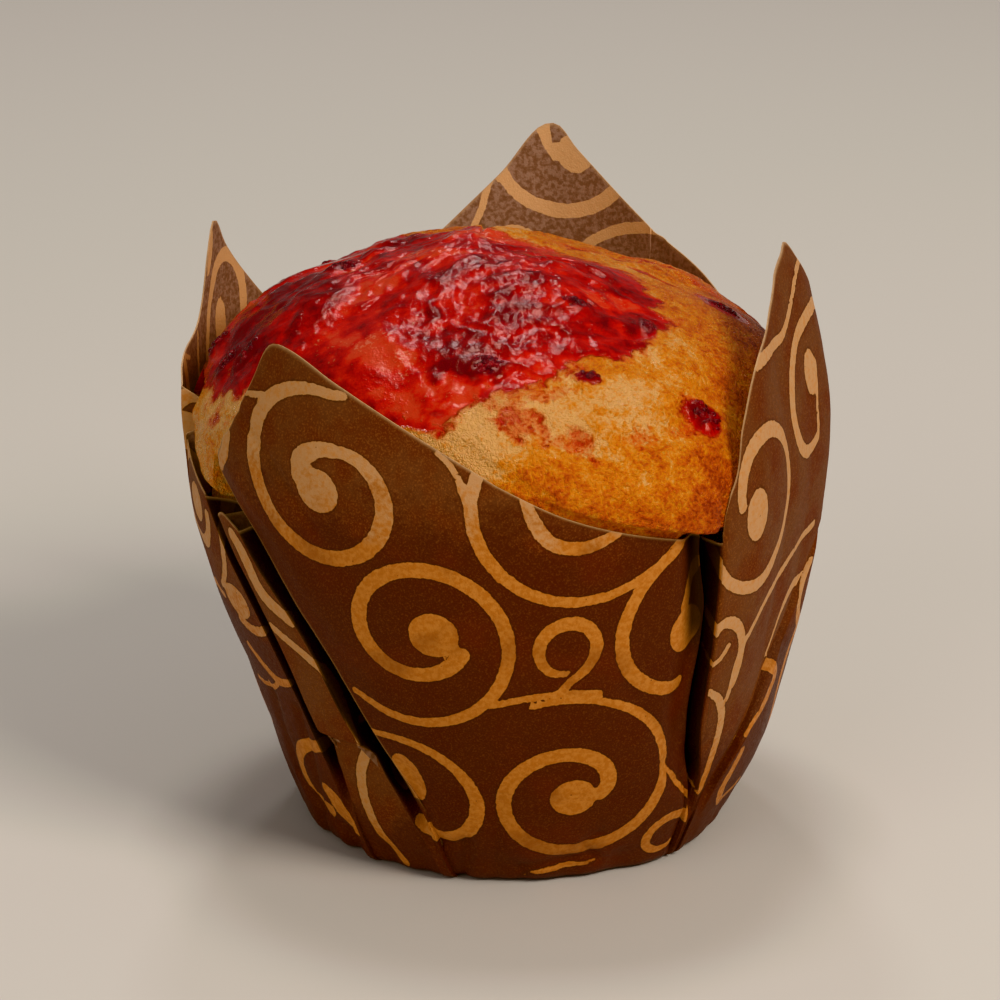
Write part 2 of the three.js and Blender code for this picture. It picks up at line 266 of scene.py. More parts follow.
@dataclass
class MeshParts:
    """Points and faces of a mesh that is being put together."""

    points: list[np.ndarray] = field(default_factory=list)
    quads: list[np.ndarray] = field(default_factory=list)
    triangles: list[np.ndarray] = field(default_factory=list)
    count: int = 0

    def add(self, points: np.ndarray) -> int:
        """Adds points, one to a row, and returns the number of the first."""
        first = self.count
        self.points.append(points.reshape(-1, 3))
        self.count += len(self.points[-1])
        return first

    def band(self, lower: int, upper: int, count: int) -> None:
        """Joins two closed loops of points, numbered from lower and upper, by quads."""
        index = np.arange(count)
        following = (index + 1) % count
        self.quads.append(
            np.stack([lower + index, lower + following, upper + following, upper + index], -1)
        )

    def fan(self, tip: int, loop: int, count: int, outward: bool) -> None:
        """Closes a loop of points with triangles round one point, in the given sense."""
        index = np.arange(count)
        following = (index + 1) % count
        ends = (following, index) if outward else (index, following)
        self.triangles.append(
            np.stack([np.full(count, tip), loop + ends[0], loop + ends[1]], -1)
        )

    def build(self, name: str, values: Mapping[str, np.ndarray]) -> bpy.types.Object:
        """Makes the object.

        Args:
            name: The piece's name.
            values: Numbers that the finish reads, one for each point.

        Returns:
            The object, in metres and smooth but for its creases.
        """
        points = np.concatenate(self.points) * MM
        quads = np.concatenate(self.quads) if self.quads else np.zeros((0, 4), int)
        across = np.linalg.norm(points[quads[:, :2]] - points[quads[:, 2:]], axis=-1)
        quads = np.where(across[:, :1] > across[:, 1:], np.roll(quads, 1, axis=1), quads)
        triangles = np.concatenate(self.triangles) if self.triangles else np.zeros((0, 3), int)
        corners = np.concatenate([quads.ravel(), triangles.ravel()]).astype(np.int32)
        starts = np.concatenate(
            [np.arange(len(quads)) * 4, quads.size + np.arange(len(triangles)) * 3]
        ).astype(np.int32)
        mesh = bpy.data.meshes.new(name)
        mesh.vertices.add(len(points))
        mesh.vertices.foreach_set("co", points.astype(np.float32).ravel())
        mesh.loops.add(len(corners))
        mesh.loops.foreach_set("vertex_index", corners)
        mesh.polygons.add(len(starts))
        mesh.polygons.foreach_set("loop_start", starts)
        mesh.update(calc_edges=True)
        for key, numbers in values.items():
            layer = mesh.attributes.new(key, "FLOAT", "POINT")
            layer.data.foreach_set("value", np.asarray(numbers, np.float32).ravel())
        mesh.validate()
        mesh.shade_smooth()
        mesh.set_sharp_from_angle(angle=math.radians(CREASE_ANGLE))
        piece = bpy.data.objects.new(name, mesh)
        bpy.context.scene.collection.objects.link(piece)
        return piece


# ---- Shader maths ----


@dataclass(frozen=True)
class Wire:
    """A number that varies over a surface: a node's output that can be used in sums."""

    bench: "Bench"
    socket: bpy.types.NodeSocket

    def _with(self, operation: str, *others: Value, first: bool = True) -> "Wire":
        """Adds a Math node for this wire and other values, this one first or last."""
        terms = (self, *others) if first else (*others, self)
        return self.bench.math(operation, *terms)

    def __add__(self, other: Value) -> "Wire":
        """This plus other."""
        return self._with("ADD", other)

    def __sub__(self, other: Value) -> "Wire":
        """This minus other."""
        return self._with("SUBTRACT", other)

    def __mul__(self, other: Value) -> "Wire":
        """This times other."""
        return self._with("MULTIPLY", other)

    def __rsub__(self, other: Value) -> "Wire":
        """Other minus this."""
        return self._with("SUBTRACT", other, first=False)

    __radd__ = __add__
    __rmul__ = __mul__

    def least(self, other: Value) -> "Wire":
        """The smaller of this and other."""
        return self._with("MINIMUM", other)

    def rise(self, low: float, high: float) -> "Wire":
        """Smooth rise from 0 at low to 1 at high, where low may also be the larger.

        Args:
            low: Where the result is 0.
            high: Where the result is 1.

        Returns:
            The share risen.
        """
        flipped = low > high
        ends = (high, low) if flipped else (low, high)
        node = self.bench.node(
            "ShaderNodeMapRange",
            {"interpolation_type": "SMOOTHSTEP"},
            {"Value": self, "From Min": ends[0], "From Max": ends[1]},
        )
        share = Wire(self.bench, node.outputs["Result"])
        return 1 - share if flipped else share


class Bench:
    """A material's nodes while they are being wired."""

    MIX_FACTOR = 0
    MIX_COLOURS = (6, 7)
    MIX_RESULT = 2
    NOISE_ROUGHNESS = 0.55

    def __init__(self, name: str) -> None:
        """Starts an empty material.

        Args:
            name: The material's name.
        """
        self.material = bpy.data.materials.new(name)
        self.material.use_nodes = True
        self.tree = self.material.node_tree
        self.tree.nodes.clear()
        self.place = self.node("ShaderNodeTexCoord").outputs["Object"]

    def node(
        self,
        kind: str,
        settings: Mapping[str, object] | None = None,
        values: Mapping[str | int, object] | None = None,
    ) -> bpy.types.Node:
        """Makes a node.

        Args:
            kind: The node's type.
            settings: Its properties, set first. "stops" holds a ramp's places and colours.
            values: Numbers, colours, sockets or wires for its inputs, by name or number.

        Returns:
            The node.
        """
        made = self.tree.nodes.new(kind)
        for key, setting in (settings or {}).items():
            if key == "stops":
                self._set_stops(made.color_ramp, setting)
            else:
                setattr(made, key, setting)
        for key, value in (values or {}).items():
            socket = made.inputs[key]
            if isinstance(value, Wire):
                self.tree.links.new(value.socket, socket)
            elif isinstance(value, bpy.types.NodeSocket):
                self.tree.links.new(value, socket)
            elif isinstance(value, tuple) and len(value) == 3 and socket.type == "RGBA":
                socket.default_value = (*value, 1)
            else:
                socket.default_value = value
        return made

    @staticmethod
    def _set_stops(ramp: bpy.types.ColorRamp, stops: Sequence[tuple[float, Colour]]) -> None:
        """Puts a ramp's stops in place, in order."""
        while len(ramp.elements) > 1:
            ramp.elements.remove(ramp.elements[-1])
        ramp.elements[0].position = stops[0][0]
        ramp.elements[0].color = (*stops[0][1], 1)
        for place, colour in stops[1:]:
            ramp.elements.new(place).color = (*colour, 1)

    def math(self, operation: str, *terms: Value) -> Wire:
        """A Math node's result for one or two terms."""
        made = self.node("ShaderNodeMath", {"operation": operation}, dict(enumerate(terms)))
        return Wire(self, made.outputs[0])

    def value(self, name: str) -> Wire:
        """A number that the mesh holds at its points."""
        made = self.node("ShaderNodeAttribute", {"attribute_name": name})
        return Wire(self, made.outputs["Fac"])

    def noise(self, size: float, detail: float) -> Wire:
        """Noise from 0 to 1.

        Args:
            size: Width of its lumps in millimetres.
            detail: How many finer layers it has.

        Returns:
            The noise.
        """
        scaled = self.node(
            "ShaderNodeVectorMath", {"operation": "DIVIDE"}, {0: self.place, 1: (size * MM,) * 3}
        )
        made = self.node(
            "ShaderNodeTexNoise",
            {},
            {
                "Vector": scaled.outputs[0], "Scale": 1.0, "Detail": detail,
                "Roughness": self.NOISE_ROUGHNESS,
            },
        )
        return Wire(self, made.outputs["Fac"])

    def ramp(self, share: Wire, stops: Sequence[tuple[float, Colour]]) -> bpy.types.NodeSocket:
        """A colour that changes with a number from 0 to 1."""
        made = self.node("ShaderNodeValToRGB", {"stops": stops}, {"Fac": share})
        return made.outputs["Color"]

    def mix(self, share: Value, first: object, second: object) -> bpy.types.NodeSocket:
        """Mixes two colours.

        Args:
            share: How much of the second there is.
            first: A colour or a colour socket.
            second: A colour or a colour socket.

        Returns:
            The mixed colour's socket.
        """
        values = {self.MIX_FACTOR: share, self.MIX_COLOURS[0]: first, self.MIX_COLOURS[1]: second}
        made = self.node("ShaderNodeMix", {"data_type": "RGBA"}, values)
        return made.outputs[self.MIX_RESULT]

    def bump(self, height: Wire, depth: float, strength: float) -> bpy.types.NodeSocket:
        """A normal that follows fine relief.

        Args:
            height: The relief, from 0 to 1.
            depth: How high 1 stands, in millimetres.
            strength: Share of the relief that is used.

        Returns:
            The normal's socket.
        """
        made = self.node(
            "ShaderNodeBump", {}, {"Height": height, "Distance": depth * MM, "Strength": strength}
        )
        return made.outputs["Normal"]

    def finish(self, values: Mapping[str | int, object]) -> bpy.types.Material:
        """Ends the material in a surface shader with these values and returns it."""
        shader = self.node("ShaderNodeBsdfPrincipled", {}, values)
        self.node("ShaderNodeOutputMaterial", {}, {"Surface": shader.outputs["BSDF"]})
        return self.material


# ---- Finishes ----


@dataclass(frozen=True)
class PrintedParchment:
    """Brown printed parchment with pale scrolls, greased in places, with painted shade in its
    folds, pale edges that are partly a painted highlight, and a greyer inner side lightened by
    painted light.
    """

    brown: Colour = (0.108, 0.016, 0.004)
    # grey_brown: greyer patches of dry paper, partly its own tone and partly a painted sheen
    grey_brown: Colour = (0.150, 0.066, 0.034)
    greased_brown: Colour = (0.052, 0.003, 0.0004)
    gleam: Colour = (0.8, 0.5, 0.35)
    reddened_brown: Colour = (0.092, 0.009, 0.003)
    outline: Colour = (0.030, 0.006, 0.002)
    # shade: near-black colour for the painted shade of the pleats' floors and the tucked panel end
    shade: Colour = (0.008, 0.002, 0.001)
    speckle: Colour = (0.300, 0.110, 0.042)
    cream: Colour = (0.540, 0.290, 0.138)
    tan: Colour = (0.540, 0.200, 0.045)
    amber: Colour = (0.430, 0.130, 0.018)
    # inner colours: the plain inner side, lightened as painted light standing in for light through
    # the thin paper
    inner_brown: Colour = (0.330, 0.200, 0.140)
    inner_dark: Colour = (0.200, 0.105, 0.066)
    inner_tan: Colour = (0.700, 0.400, 0.190)
    # pale colour of the cut edge and rubbed fold lines, partly the paper's own and partly a painted
    # highlight
    cut_edge_and_highlight: Colour = (0.560, 0.350, 0.190)
    rough_edge: float = 0.09
    edge_softness: float = 0.035

    def build(self) -> bpy.types.Material:
        """Wires the finish.

        Returns:
            The material.
        """
        bench = Bench("printed_parchment")
        ink = bench.value("ink")
        inside = bench.value("inside").rise(0.4, 0.6)
        grease_and_shade = bench.value("grease_and_shade")
        worn_and_highlit = bench.value("edge")
        fibre = bench.noise(0.2, 3)
        mottle = bench.noise(0.55, 4)
        patch = bench.noise(5.0, 3)
        stain = bench.noise(9.0, 2)
        ragged = ink + (bench.noise(0.7, 4) - 0.5) * self.rough_edge * 4
        fleck = bench.noise(0.5, 1).rise(0.77, 0.8)
        pale = ragged.rise(self.edge_softness, -self.edge_softness) * (1 - fleck * 0.8)
        # greased also reaches 1 in the painted shade of the folds, so that shade also takes the
        # greased brown
        greased = (grease_and_shade.least(1) + (mottle - 0.5) * 0.5 + (patch - 0.5) * 1.1).rise(0.3, 0.75)
        # greyer patches of dry paper: partly its own tone, partly a painted sheen
        brown = bench.mix(patch.rise(0.3, 0.65) * 0.65, self.brown, self.grey_brown)
        brown = bench.mix(greased * 0.85, brown, self.greased_brown)
        brown = bench.mix(greased * stain.rise(0.5, 0.75) * 0.7, brown, self.reddened_brown)
        brown = bench.mix(fibre.rise(0.48, 0.72) * (0.6 - greased * 0.34), brown, self.speckle)
        brown = bench.mix(ragged.rise(0.32, 0.06) * 0.45, brown, self.outline)
        soaked = bench.mix(mottle.rise(0.38, 0.62), self.tan, self.amber)
        dry = bench.mix(mottle.rise(0.4, 0.8) * 0.6, self.cream, self.tan)
        light = bench.mix(greased * 0.85, dry, soaked)
        light = bench.mix(greased * stain.rise(0.56, 0.7) * 0.35, light, self.reddened_brown)
        outside = bench.mix(pale, brown, light)
        # inner side, lightened as painted light for light through the paper
        inner_paper = bench.mix(mottle.rise(0.38, 0.62), self.inner_dark, self.inner_brown)
        inner = bench.mix(pale * 0.9, inner_paper, self.inner_tan)
        colour = bench.mix(inside, outside, inner)
        # painted shade: where this attribute rises above 1, in the pleats and at the tucked panel
        # end, the paper is painted near-black
        colour = bench.mix(grease_and_shade.rise(0.95, 1.9) * 0.95, colour, self.shade)
        # pale cut edge and fold lines: rubbed paper with a painted highlight where the edge catches
        # light
        colour = bench.mix(worn_and_highlit * worn_and_highlit * (0.55 + mottle * 0.5), colour, self.cut_edge_and_highlight)
        relief = fibre * 0.5 + mottle * 0.5
        roughness = 0.6 - greased * 0.14 + (mottle - 0.5) * 0.4
        return bench.finish(
            {
                "Base Color": colour,
                "Specular Tint": self.gleam,
                "Roughness": roughness,
                "Normal": bench.bump(relief, 0.12, 0.9),
                "IOR": 1.45,
            }
        )


@dataclass(frozen=True)
class GlazedCrust:
    """Golden crust with a fine grain, smeared and stained by cooked raspberries."""

    pale: Colour = (0.780, 0.410, 0.150)
    golden: Colour = (0.720, 0.230, 0.019)
    amber: Colour = (0.540, 0.090, 0.008)
    baked: Colour = (0.260, 0.020, 0.001)
    blush: Colour = (0.600, 0.070, 0.018)
    thin_jam: Colour = (0.520, 0.050, 0.026)
    bright_jam: Colour = (0.500, 0.011, 0.006)
    jam: Colour = (0.350, 0.003, 0.003)
    deep_jam: Colour = (0.130, 0.001, 0.003)
    foam: Colour = (0.600, 0.200, 0.120)
    gleam: Colour = (1.0, 0.62, 0.52)
    scatter: float = 0.1
    scatter_depth: float = 0.5

    def build(self) -> bpy.types.Material:
        """Wires the finish.

        Returns:
            The material.
        """
        bench = Bench("glazed_crust")
        jam = bench.value("jam")
        bake = bench.value("bake")
        thick = bench.value("thick")
        froth = bench.value("froth")
        grain = bench.noise(0.42, 3)
        fine = bench.noise(0.17, 2)
        crumb = bench.noise(1.3, 4)
        patch = bench.noise(4.5, 3)
        uneven = (grain - 0.5) * 1.2 + (crumb - 0.5) * 1.1 + (patch - 0.5) * 0.8
        crust = bench.ramp(
            bake + uneven,
            [(0.0, self.pale), (0.34, self.golden), (0.7, self.amber), (1.0, self.baked)],
        )
        covered = (jam + (crumb - 0.5) * 1.1 + (grain - 0.5) * 0.6).rise(0.3, 0.74)
        depth = thick + (crumb - 0.5) * 1.1 + (patch - 0.5) * 0.5 + (grain - 0.5) * 0.5
        smear = bench.ramp(
            depth,
            [
                (0.0, self.thin_jam), (0.2, self.bright_jam),
                (0.48, self.jam), (0.95, self.deep_jam),
            ],
        )
        blushing = (jam + (crumb - 0.5) * 0.5 + (grain - 0.5) * 0.5).rise(0.08, 0.5)
        stained = bench.mix(blushing * 0.75, crust, self.blush)
        colour = bench.mix(covered, stained, smear)
        frothy = (froth + (grain - 0.5) * 1.6 + (crumb - 0.5) * 1.0).rise(0.5, 0.8)
        colour = bench.mix(frothy * covered * 0.6, colour, self.foam)
        rough = 1 - covered * 0.93
        relief = (grain * 0.55 + fine * 0.35 + crumb * 0.3) * rough + crumb * covered * 0.14
        roughness = 0.31 - covered * 0.21 + (grain - 0.5) * 0.4
        return bench.finish(
            {
                "Base Color": colour,
                "Roughness": roughness,
                "Normal": bench.bump(relief, 1.0, 1.0),
                "Subsurface Weight": self.scatter,
                "Subsurface Radius": (1.0, 0.35, 0.12),
                "Subsurface Scale": self.scatter_depth * MM,
                "IOR": 1.45,
                "Specular Tint": self.gleam,
            }
        )


@dataclass(frozen=True)
class CookedRaspberry:
    """Dark red glossy drupelets."""

    red: Colour = (0.300, 0.005, 0.009)
    purple: Colour = (0.075, 0.001, 0.005)

    def build(self) -> bpy.types.Material:
        """Wires the finish and returns the material."""
        bench = Bench("cooked_raspberry")
        tone = bench.noise(1.0, 3).rise(0.35, 0.72)
        return bench.finish(
            {
                "Base Color": bench.mix(tone, self.purple, self.red),
                "Roughness": 0.08 + bench.noise(0.5, 2) * 0.2,
                "Normal": bench.bump(bench.noise(0.3, 3), 0.5, 0.9),
                "IOR": 1.5,
            }
        )


@dataclass(frozen=True)
class PaleFloor:
    """Plain matt floor."""

    colour: Colour = (0.620, 0.575, 0.520)

    def build(self) -> bpy.types.Material:
        """Wires the finish and returns the material."""
        bench = Bench("pale_floor")
        return bench.finish({"Base Color": self.colour, "Roughness": 0.7})


# ---- The case's shape ----


@dataclass(frozen=True)
class TulipWall:
    """The wall of the case before it is pleated."""

    base_radius: float = 24.5
    flare: float = 11.7
    flare_power: float = 0.85
    belly_height: float = 47.0
    closing: float = 3.9
    closing_height: float = 19.0
    closing_power: float = 1.6
    side_bulges: Rows = (
        (0, 0, 0), (6, -0.8, 0), (12, -1.4, -0.1), (20, -1.3, -0.5), (28, -0.1, -0.8),
        (36, 0.8, -0.9), (48, 0.9, -0.9),
    )
    side_power: float = 1.5
    flats: Rows = (
        (0, 0), (305, 0), (307.5, 1), (318, 0.2), (332, -1.8), (345, -1.5), (356, 0), (360, 0),
    )
    flat_start: Span = (10, 26)
    flat_end: Span = (54, 68)
    leans: Rows = (
        (0, -0.6), (10, 0.5), (50, 4), (84, 8), (120, 6), (158, 4), (185, 2.5), (204, 0), (300, 0),
        (320, -1), (340, -1.8), (357, -0.8), (360, -0.6),
    )
    lean_start: float = 42.0
    lean_span: float = 24.0
    lean_power: float = 1.5
    most_lean: float = 1.3
    tallest: float = 76.0
    height_step: float = 0.1

    def round_radius(self, z: np.ndarray) -> np.ndarray:
        """Radius of the round wall at heights."""
        rise = np.sin(np.pi / 2 * np.clip(z, 0, self.belly_height) / self.belly_height)
        above = np.clip(z - self.belly_height, 0, None) / self.closing_height
        drawn_in = self.closing * above**self.closing_power
        return self.base_radius + self.flare * rise**self.flare_power - drawn_in

    def radius(self, azimuth: np.ndarray, z: np.ndarray) -> np.ndarray:
        """Radius of the paper's outside, with its bulges, its flat and its leaning petals.

        Args:
            azimuth: Azimuths of the places.
            z: Heights of the places.

        Returns:
            The radii.
        """
        turned = np.mod(azimuth, 360)
        above = np.clip((z - self.lean_start) / self.lean_span, 0, self.most_lean)
        lean = along(self.leans, turned) * above**self.lean_power
        facing = np.cos(np.radians(azimuth))
        left, right = along(self.side_bulges, z), along(self.side_bulges, z, 2)
        bulge = np.where(facing < 0, left, right) * np.abs(facing) ** self.side_power
        flat = along(self.flats, turned) * smoothstep(z, *self.flat_start)
        return self.round_radius(z) + bulge + lean + flat * (1 - smoothstep(z, *self.flat_end))

    def climb(self, z: np.ndarray) -> np.ndarray:
        """Length of paper from the base's edge up the wall to heights."""
        heights = np.arange(0, self.tallest, self.height_step)
        steps = np.hypot(self.height_step, np.diff(self.round_radius(heights)))
        return np.interp(z, heights, np.concatenate([[0], np.cumsum(steps)]))


@dataclass(frozen=True)
class Pleat:
    """A fold of spare paper. Its three fold lines are azimuths at every LINE_STEP of height.

    The depth grows from foot to full and is gone again at opened. rim is the height of the sheet's
    edge at the fold's bottom.
    """

    first: tuple[float, ...]
    bottom: tuple[float, ...]
    last: tuple[float, ...]
    depth: float
    foot: float
    full: float
    rim: float
    opened: float = 99.0
    LINE_STEP = 10.0
    OPENING = 14.0

    def line(self, azimuths: tuple[float, ...], z: np.ndarray) -> np.ndarray:
        """Azimuth of a fold line, joined smoothly between the heights where it is given.

        Args:
            azimuths: One of the three fold lines.
            z: Heights.

        Returns:
            The azimuths at the heights.
        """
        knots = np.array(azimuths)
        slopes = np.gradient(knots)
        place = np.clip(np.asarray(z, float) / self.LINE_STEP, 0, len(knots) - 1)
        at = np.minimum(place.astype(int), len(knots) - 2)
        return curved(place - at, (knots[at], knots[at + 1]), (slopes[at], slopes[at + 1]))

    def depth_at(self, z: np.ndarray) -> np.ndarray:
        """Depth of the fold at heights."""
        opening = 1 - smoothstep(z, self.opened - self.OPENING, self.opened)
        return self.depth * smoothstep(z, self.foot, self.full) * opening


# ---- The print ----


CONE_SLOPE = 0.25
CONE_REACH = TulipWall.base_radius / CONE_SLOPE
NO_INK = 9.0


class Mark:
    """One pale mark of the print, on the flat sheet: millimetres to the right and up."""

    def distance(self, places: np.ndarray) -> np.ndarray:
        """Distance from places to the mark's edge, negative inside it."""
        raise NotImplementedError

    def box(self) -> Pair:
        """Lowest and highest place of the mark."""
        raise NotImplementedError


class Stroke(Mark):
    """A mark along a line whose rows are right, up and half its width."""

    def line(self) -> np.ndarray:
        """The stroke's middle line, with half its width."""
        raise NotImplementedError

    def distance(self, places: np.ndarray) -> np.ndarray:
        """Distance from places to the stroke's edge, negative inside it."""
        line = self.line()
        gap, share = line_gaps(places, line[:-1, :2], np.diff(line[:, :2], axis=0))
        width = line[:-1, 2] + share * np.diff(line[:, 2])
        return (gap - width).min(axis=1)

    def box(self) -> Pair:
        """Lowest and highest place of the stroke."""
        line = self.line()
        width = line[:, 2].max()
        return line[:, :2].min(0) - width, line[:, :2].max(0) + width


@dataclass(frozen=True)
class Scroll(Stroke):
    """A stroke that winds in on itself, while its centre drifts from outer to inner."""

    outer: Place
    inner: Place
    radii: Place
    start: float
    turn: float
    widths: tuple[float, ...]
    ease: float = 1.0
    STEP = 7.5
    SQUASH = 0.96

    def line(self) -> np.ndarray:
        """The stroke's middle line, with half its width, from its outer end."""
        share = np.linspace(0, 1, int(abs(self.turn) / self.STEP) + 2)
        angle = np.radians(self.start + self.turn * share)
        radius = self.radii[0] + (self.radii[1] - self.radii[0]) * share**self.ease
        right = self.outer[0] + (self.inner[0] - self.outer[0]) * share + radius * np.cos(angle)
        height = self.SQUASH * radius * np.sin(angle)
        up = self.outer[1] + (self.inner[1] - self.outer[1]) * share + height
        width = np.interp(share, np.linspace(0, 1, len(self.widths)), self.widths) / 2
        return np.stack([right, up, width], axis=-1)


@dataclass(frozen=True)
class Stem(Stroke):
    """A short smooth stroke through given places: right, up and full width."""

    knots: tuple[tuple[float, float, float], ...]
    PIECES = 6

    def line(self) -> np.ndarray:
        """The stroke's middle line, with half its width."""
        knots = np.array(self.knots) * (1, 1, 0.5)
        slopes = np.gradient(knots, axis=0)
        part = (np.arange(self.PIECES) / self.PIECES)[None, :, None]
        ends = (knots[:-1, None], knots[1:, None])
        curve = curved(part, ends, (slopes[:-1, None], slopes[1:, None]))
        return np.concatenate([curve.reshape(-1, 3), knots[-1:]])


@dataclass(frozen=True)
class Drop(Mark):
    """The round or oval end of a scroll."""

    centre: Place
    radii: Place
    tilt: float = 0.0

    def distance(self, places: np.ndarray) -> np.ndarray:
        """Distance from places to the drop's edge, negative inside it."""
        right, up = turned(*(places - self.centre).T, self.tilt)
        return (np.hypot(right / self.radii[0], up / self.radii[1]) - 1) * min(self.radii)

    def box(self) -> Pair:
        """Lowest and highest place of the drop."""
        centre = np.array(self.centre)
        return centre - max(self.radii), centre + max(self.radii)


@dataclass(frozen=True)
class Layer:
    """Marks laid on the flat sheet, as they are or moved.

    swing carries them round the case, in degrees of azimuth. Then they are shifted, turned and
    mirrored.
    """

    marks: tuple[Mark, ...]
    swing: float = 0.0
    shift: Place = (0, 0)
    turn: float = 0.0
    mirrored: bool = False
    SLACK = 2.0

    def ink(self, places: np.ndarray) -> np.ndarray:
        """Distance from places on the flat sheet to the nearest mark's edge.

        Args:
            places: Right and up on the flat sheet, one to a row.

        Returns:
            The distances, negative inside a mark and at most NO_INK.
        """
        right, up = turned(places[:, 0], places[:, 1] + CONE_REACH, -self.swing * CONE_SLOPE)
        right, up = turned(right - self.shift[0], up - CONE_REACH - self.shift[1], self.turn)
        moved = np.stack([-right if self.mirrored else right, up], axis=-1)
        nearest = np.full(len(places), NO_INK)
        for mark in self.marks:
            low, high = mark.box()
            near = ((moved >= low - self.SLACK) & (moved <= high + self.SLACK)).all(axis=1)
            if near.any():
                nearest[near] = np.minimum(nearest[near], mark.distance(moved[near]))
        return nearest


@dataclass(frozen=True)
class Crease:
    """A sharp dent along a line on the flat sheet, given by places with a width of 0."""

    line: Stem
    depth: float
    width: float
    POWER = 1.4

    def dent(self, places: np.ndarray) -> np.ndarray:
        """How far places on the flat sheet are dented."""
        low, high = self.line.box()
        near = ((places >= low - self.width) & (places <= high + self.width)).all(axis=1)
        dented = np.zeros(len(places))
        share = 1 - self.line.distance(places[near]) / self.width
        dented[near] = self.depth * np.clip(share, 0, 1) ** self.POWER
        return dented


@dataclass(frozen=True)
class Print:
    """The print round one azimuth of the wall, in layers, with the creases of the paper there."""

    azimuth: float
    layers: tuple[Layer, ...]
    creases: tuple[Crease, ...] = ()

    def dent(self, places: np.ndarray) -> np.ndarray:
        """How far creases dent places on the flat sheet."""
        return sum((crease.dent(places) for crease in self.creases), np.zeros(len(places)))

    def ink(self, places: np.ndarray) -> np.ndarray:
        """Distance from places on the flat sheet to the nearest mark's edge, negative inside it."""
        return np.min([layer.ink(places) for layer in self.layers], axis=0)


HIGH_SCROLL = (
    Scroll(
        (-18.7, 49.2), (-14.1, 47.2), (11.5, 5.6), 65, 445,
        (1.0, 1.6, 2.0, 1.8, 1.7, 2.1, 1.8, 1.2, 1.0), 0.5,
    ),
    Drop((-16.9, 48.4), (2.6, 2.4), 10),
    Stem(((-19.2, 49.3, 2.2), (-19.3, 51.2, 1.8), (-17.4, 52.7, 1.6), (-15, 53.2, 1.6))),
    Stem(((-28, 54.8, 0.5), (-26.2, 55.4, 0.7), (-24.2, 56.2, 0.6))),
    Stem(((-30.8, 49.3, 1.3), (-31.4, 46.6, 1.5), (-33, 44.4, 1.2), (-34.4, 43.4, 0.8))),
)

MIDDLE_SCROLL = (
    Scroll(
        (-5, 33.5), (-5.5, 35.5), (12.5, 5.5), -135, 460,
        (0.9, 1.3, 1.5, 1.7, 1.7, 1.8, 1.7, 1.9), 0.6,
    ),
    Drop((-3.9, 34.6), (2.7, 2.6)),
)

LOW_SCROLL = (
    Scroll(
        (9.5, 14.5), (11.5, 13.5), (12.5, 2), 105, -485,
        (0.7, 1.2, 1.6, 1.8, 1.7, 1.8, 1.9, 1.9), 1.5,
    ),
    Drop((10.4, 12.9), (2.6, 2.5)),
    Stem(((2, 26.3, 0.8), (5.5, 27.1, 0.8), (9.5, 27.3, 0.9), (13.5, 26.6, 1.0))),
)

CURL = (
    Scroll((9, 34.5), (9.5, 30.5), (7, 0.8), -85, 415, (0.9, 1.4, 1.6, 1.5, 1.2, 0.9, 0.5), 0.5),
)

LONG_ARC = (
    Scroll((27.5, 35), (27, 45.5), (32.5, 4.5), 145, 75, (1.4, 1.5, 1.3, 1.1, 0.9), 1.2),
    Stem(((-3.5, 55.2, 0.5), (-1.6, 53.4, 0.7), (-0.2, 50.2, 0.9))),
    Stem(
        ((5.9, 50.2, 1.2), (6.9, 47.6, 1.5), (8.8, 45.2, 1.5), (12, 44.4, 1.5), (15.6, 45.3, 1.1))
    ),
)

FOLDED_SCROLL = (
    Scroll((26, 31), (25, 32), (12.5, 8), 95, 165, (1.1, 1.5, 1.6, 1.7, 1.6), 0.5),
    Drop((24.3, 31.2), (2.5, 2.7)),
    Stem(((24, 34.2, 1.4), (25.4, 36.2, 1.5), (27.4, 37.6, 1.2))),
)

SMALL_SCROLL = (
    Scroll((-7.5, 14), (-3.5, 10.5), (8, 4), 130, -270, (0.8, 1.1, 1.5, 1.8, 1.8, 1.6), 0.6),
    Drop((-8, 14.8), (1.8, 3.3), 20),
)

FOOT_CURLS = (
    Scroll((22, 2), (21.5, 3), (3.5, 2.5), 30, 260, (1.4, 1.3, 1.2, 1.1, 0.7)),
    Stem(((22, 13, 0.6), (24.2, 8.7, 0.8), (25.6, 5.9, 0.7), (24.6, 3.4, 1.0))),
    Stem(((4.5, 1.5, 0.5), (8, 1.9, 0.8), (12.5, 1.9, 0.5))),
    Scroll((-13, 10.5), (-2.5, 5.5), (7, 8.5), 90, 125, (1.2, 1.5, 1.4, 1.0)),
)

STRIP_STROKES = (
    Stem(((-30.5, 37.6, 1.4), (-28.4, 35.9, 1.8), (-25.9, 32.6, 1.8), (-21.6, 31.2, 1.6))),
    Stem(
        ((-25.1, 28.7, 1.0), (-20.9, 27.6, 1.2), (-17.3, 25.9, 1.1), (-15.1, 22.3, 1.1),
         (-13.7, 18, 0.9))
    ),
)

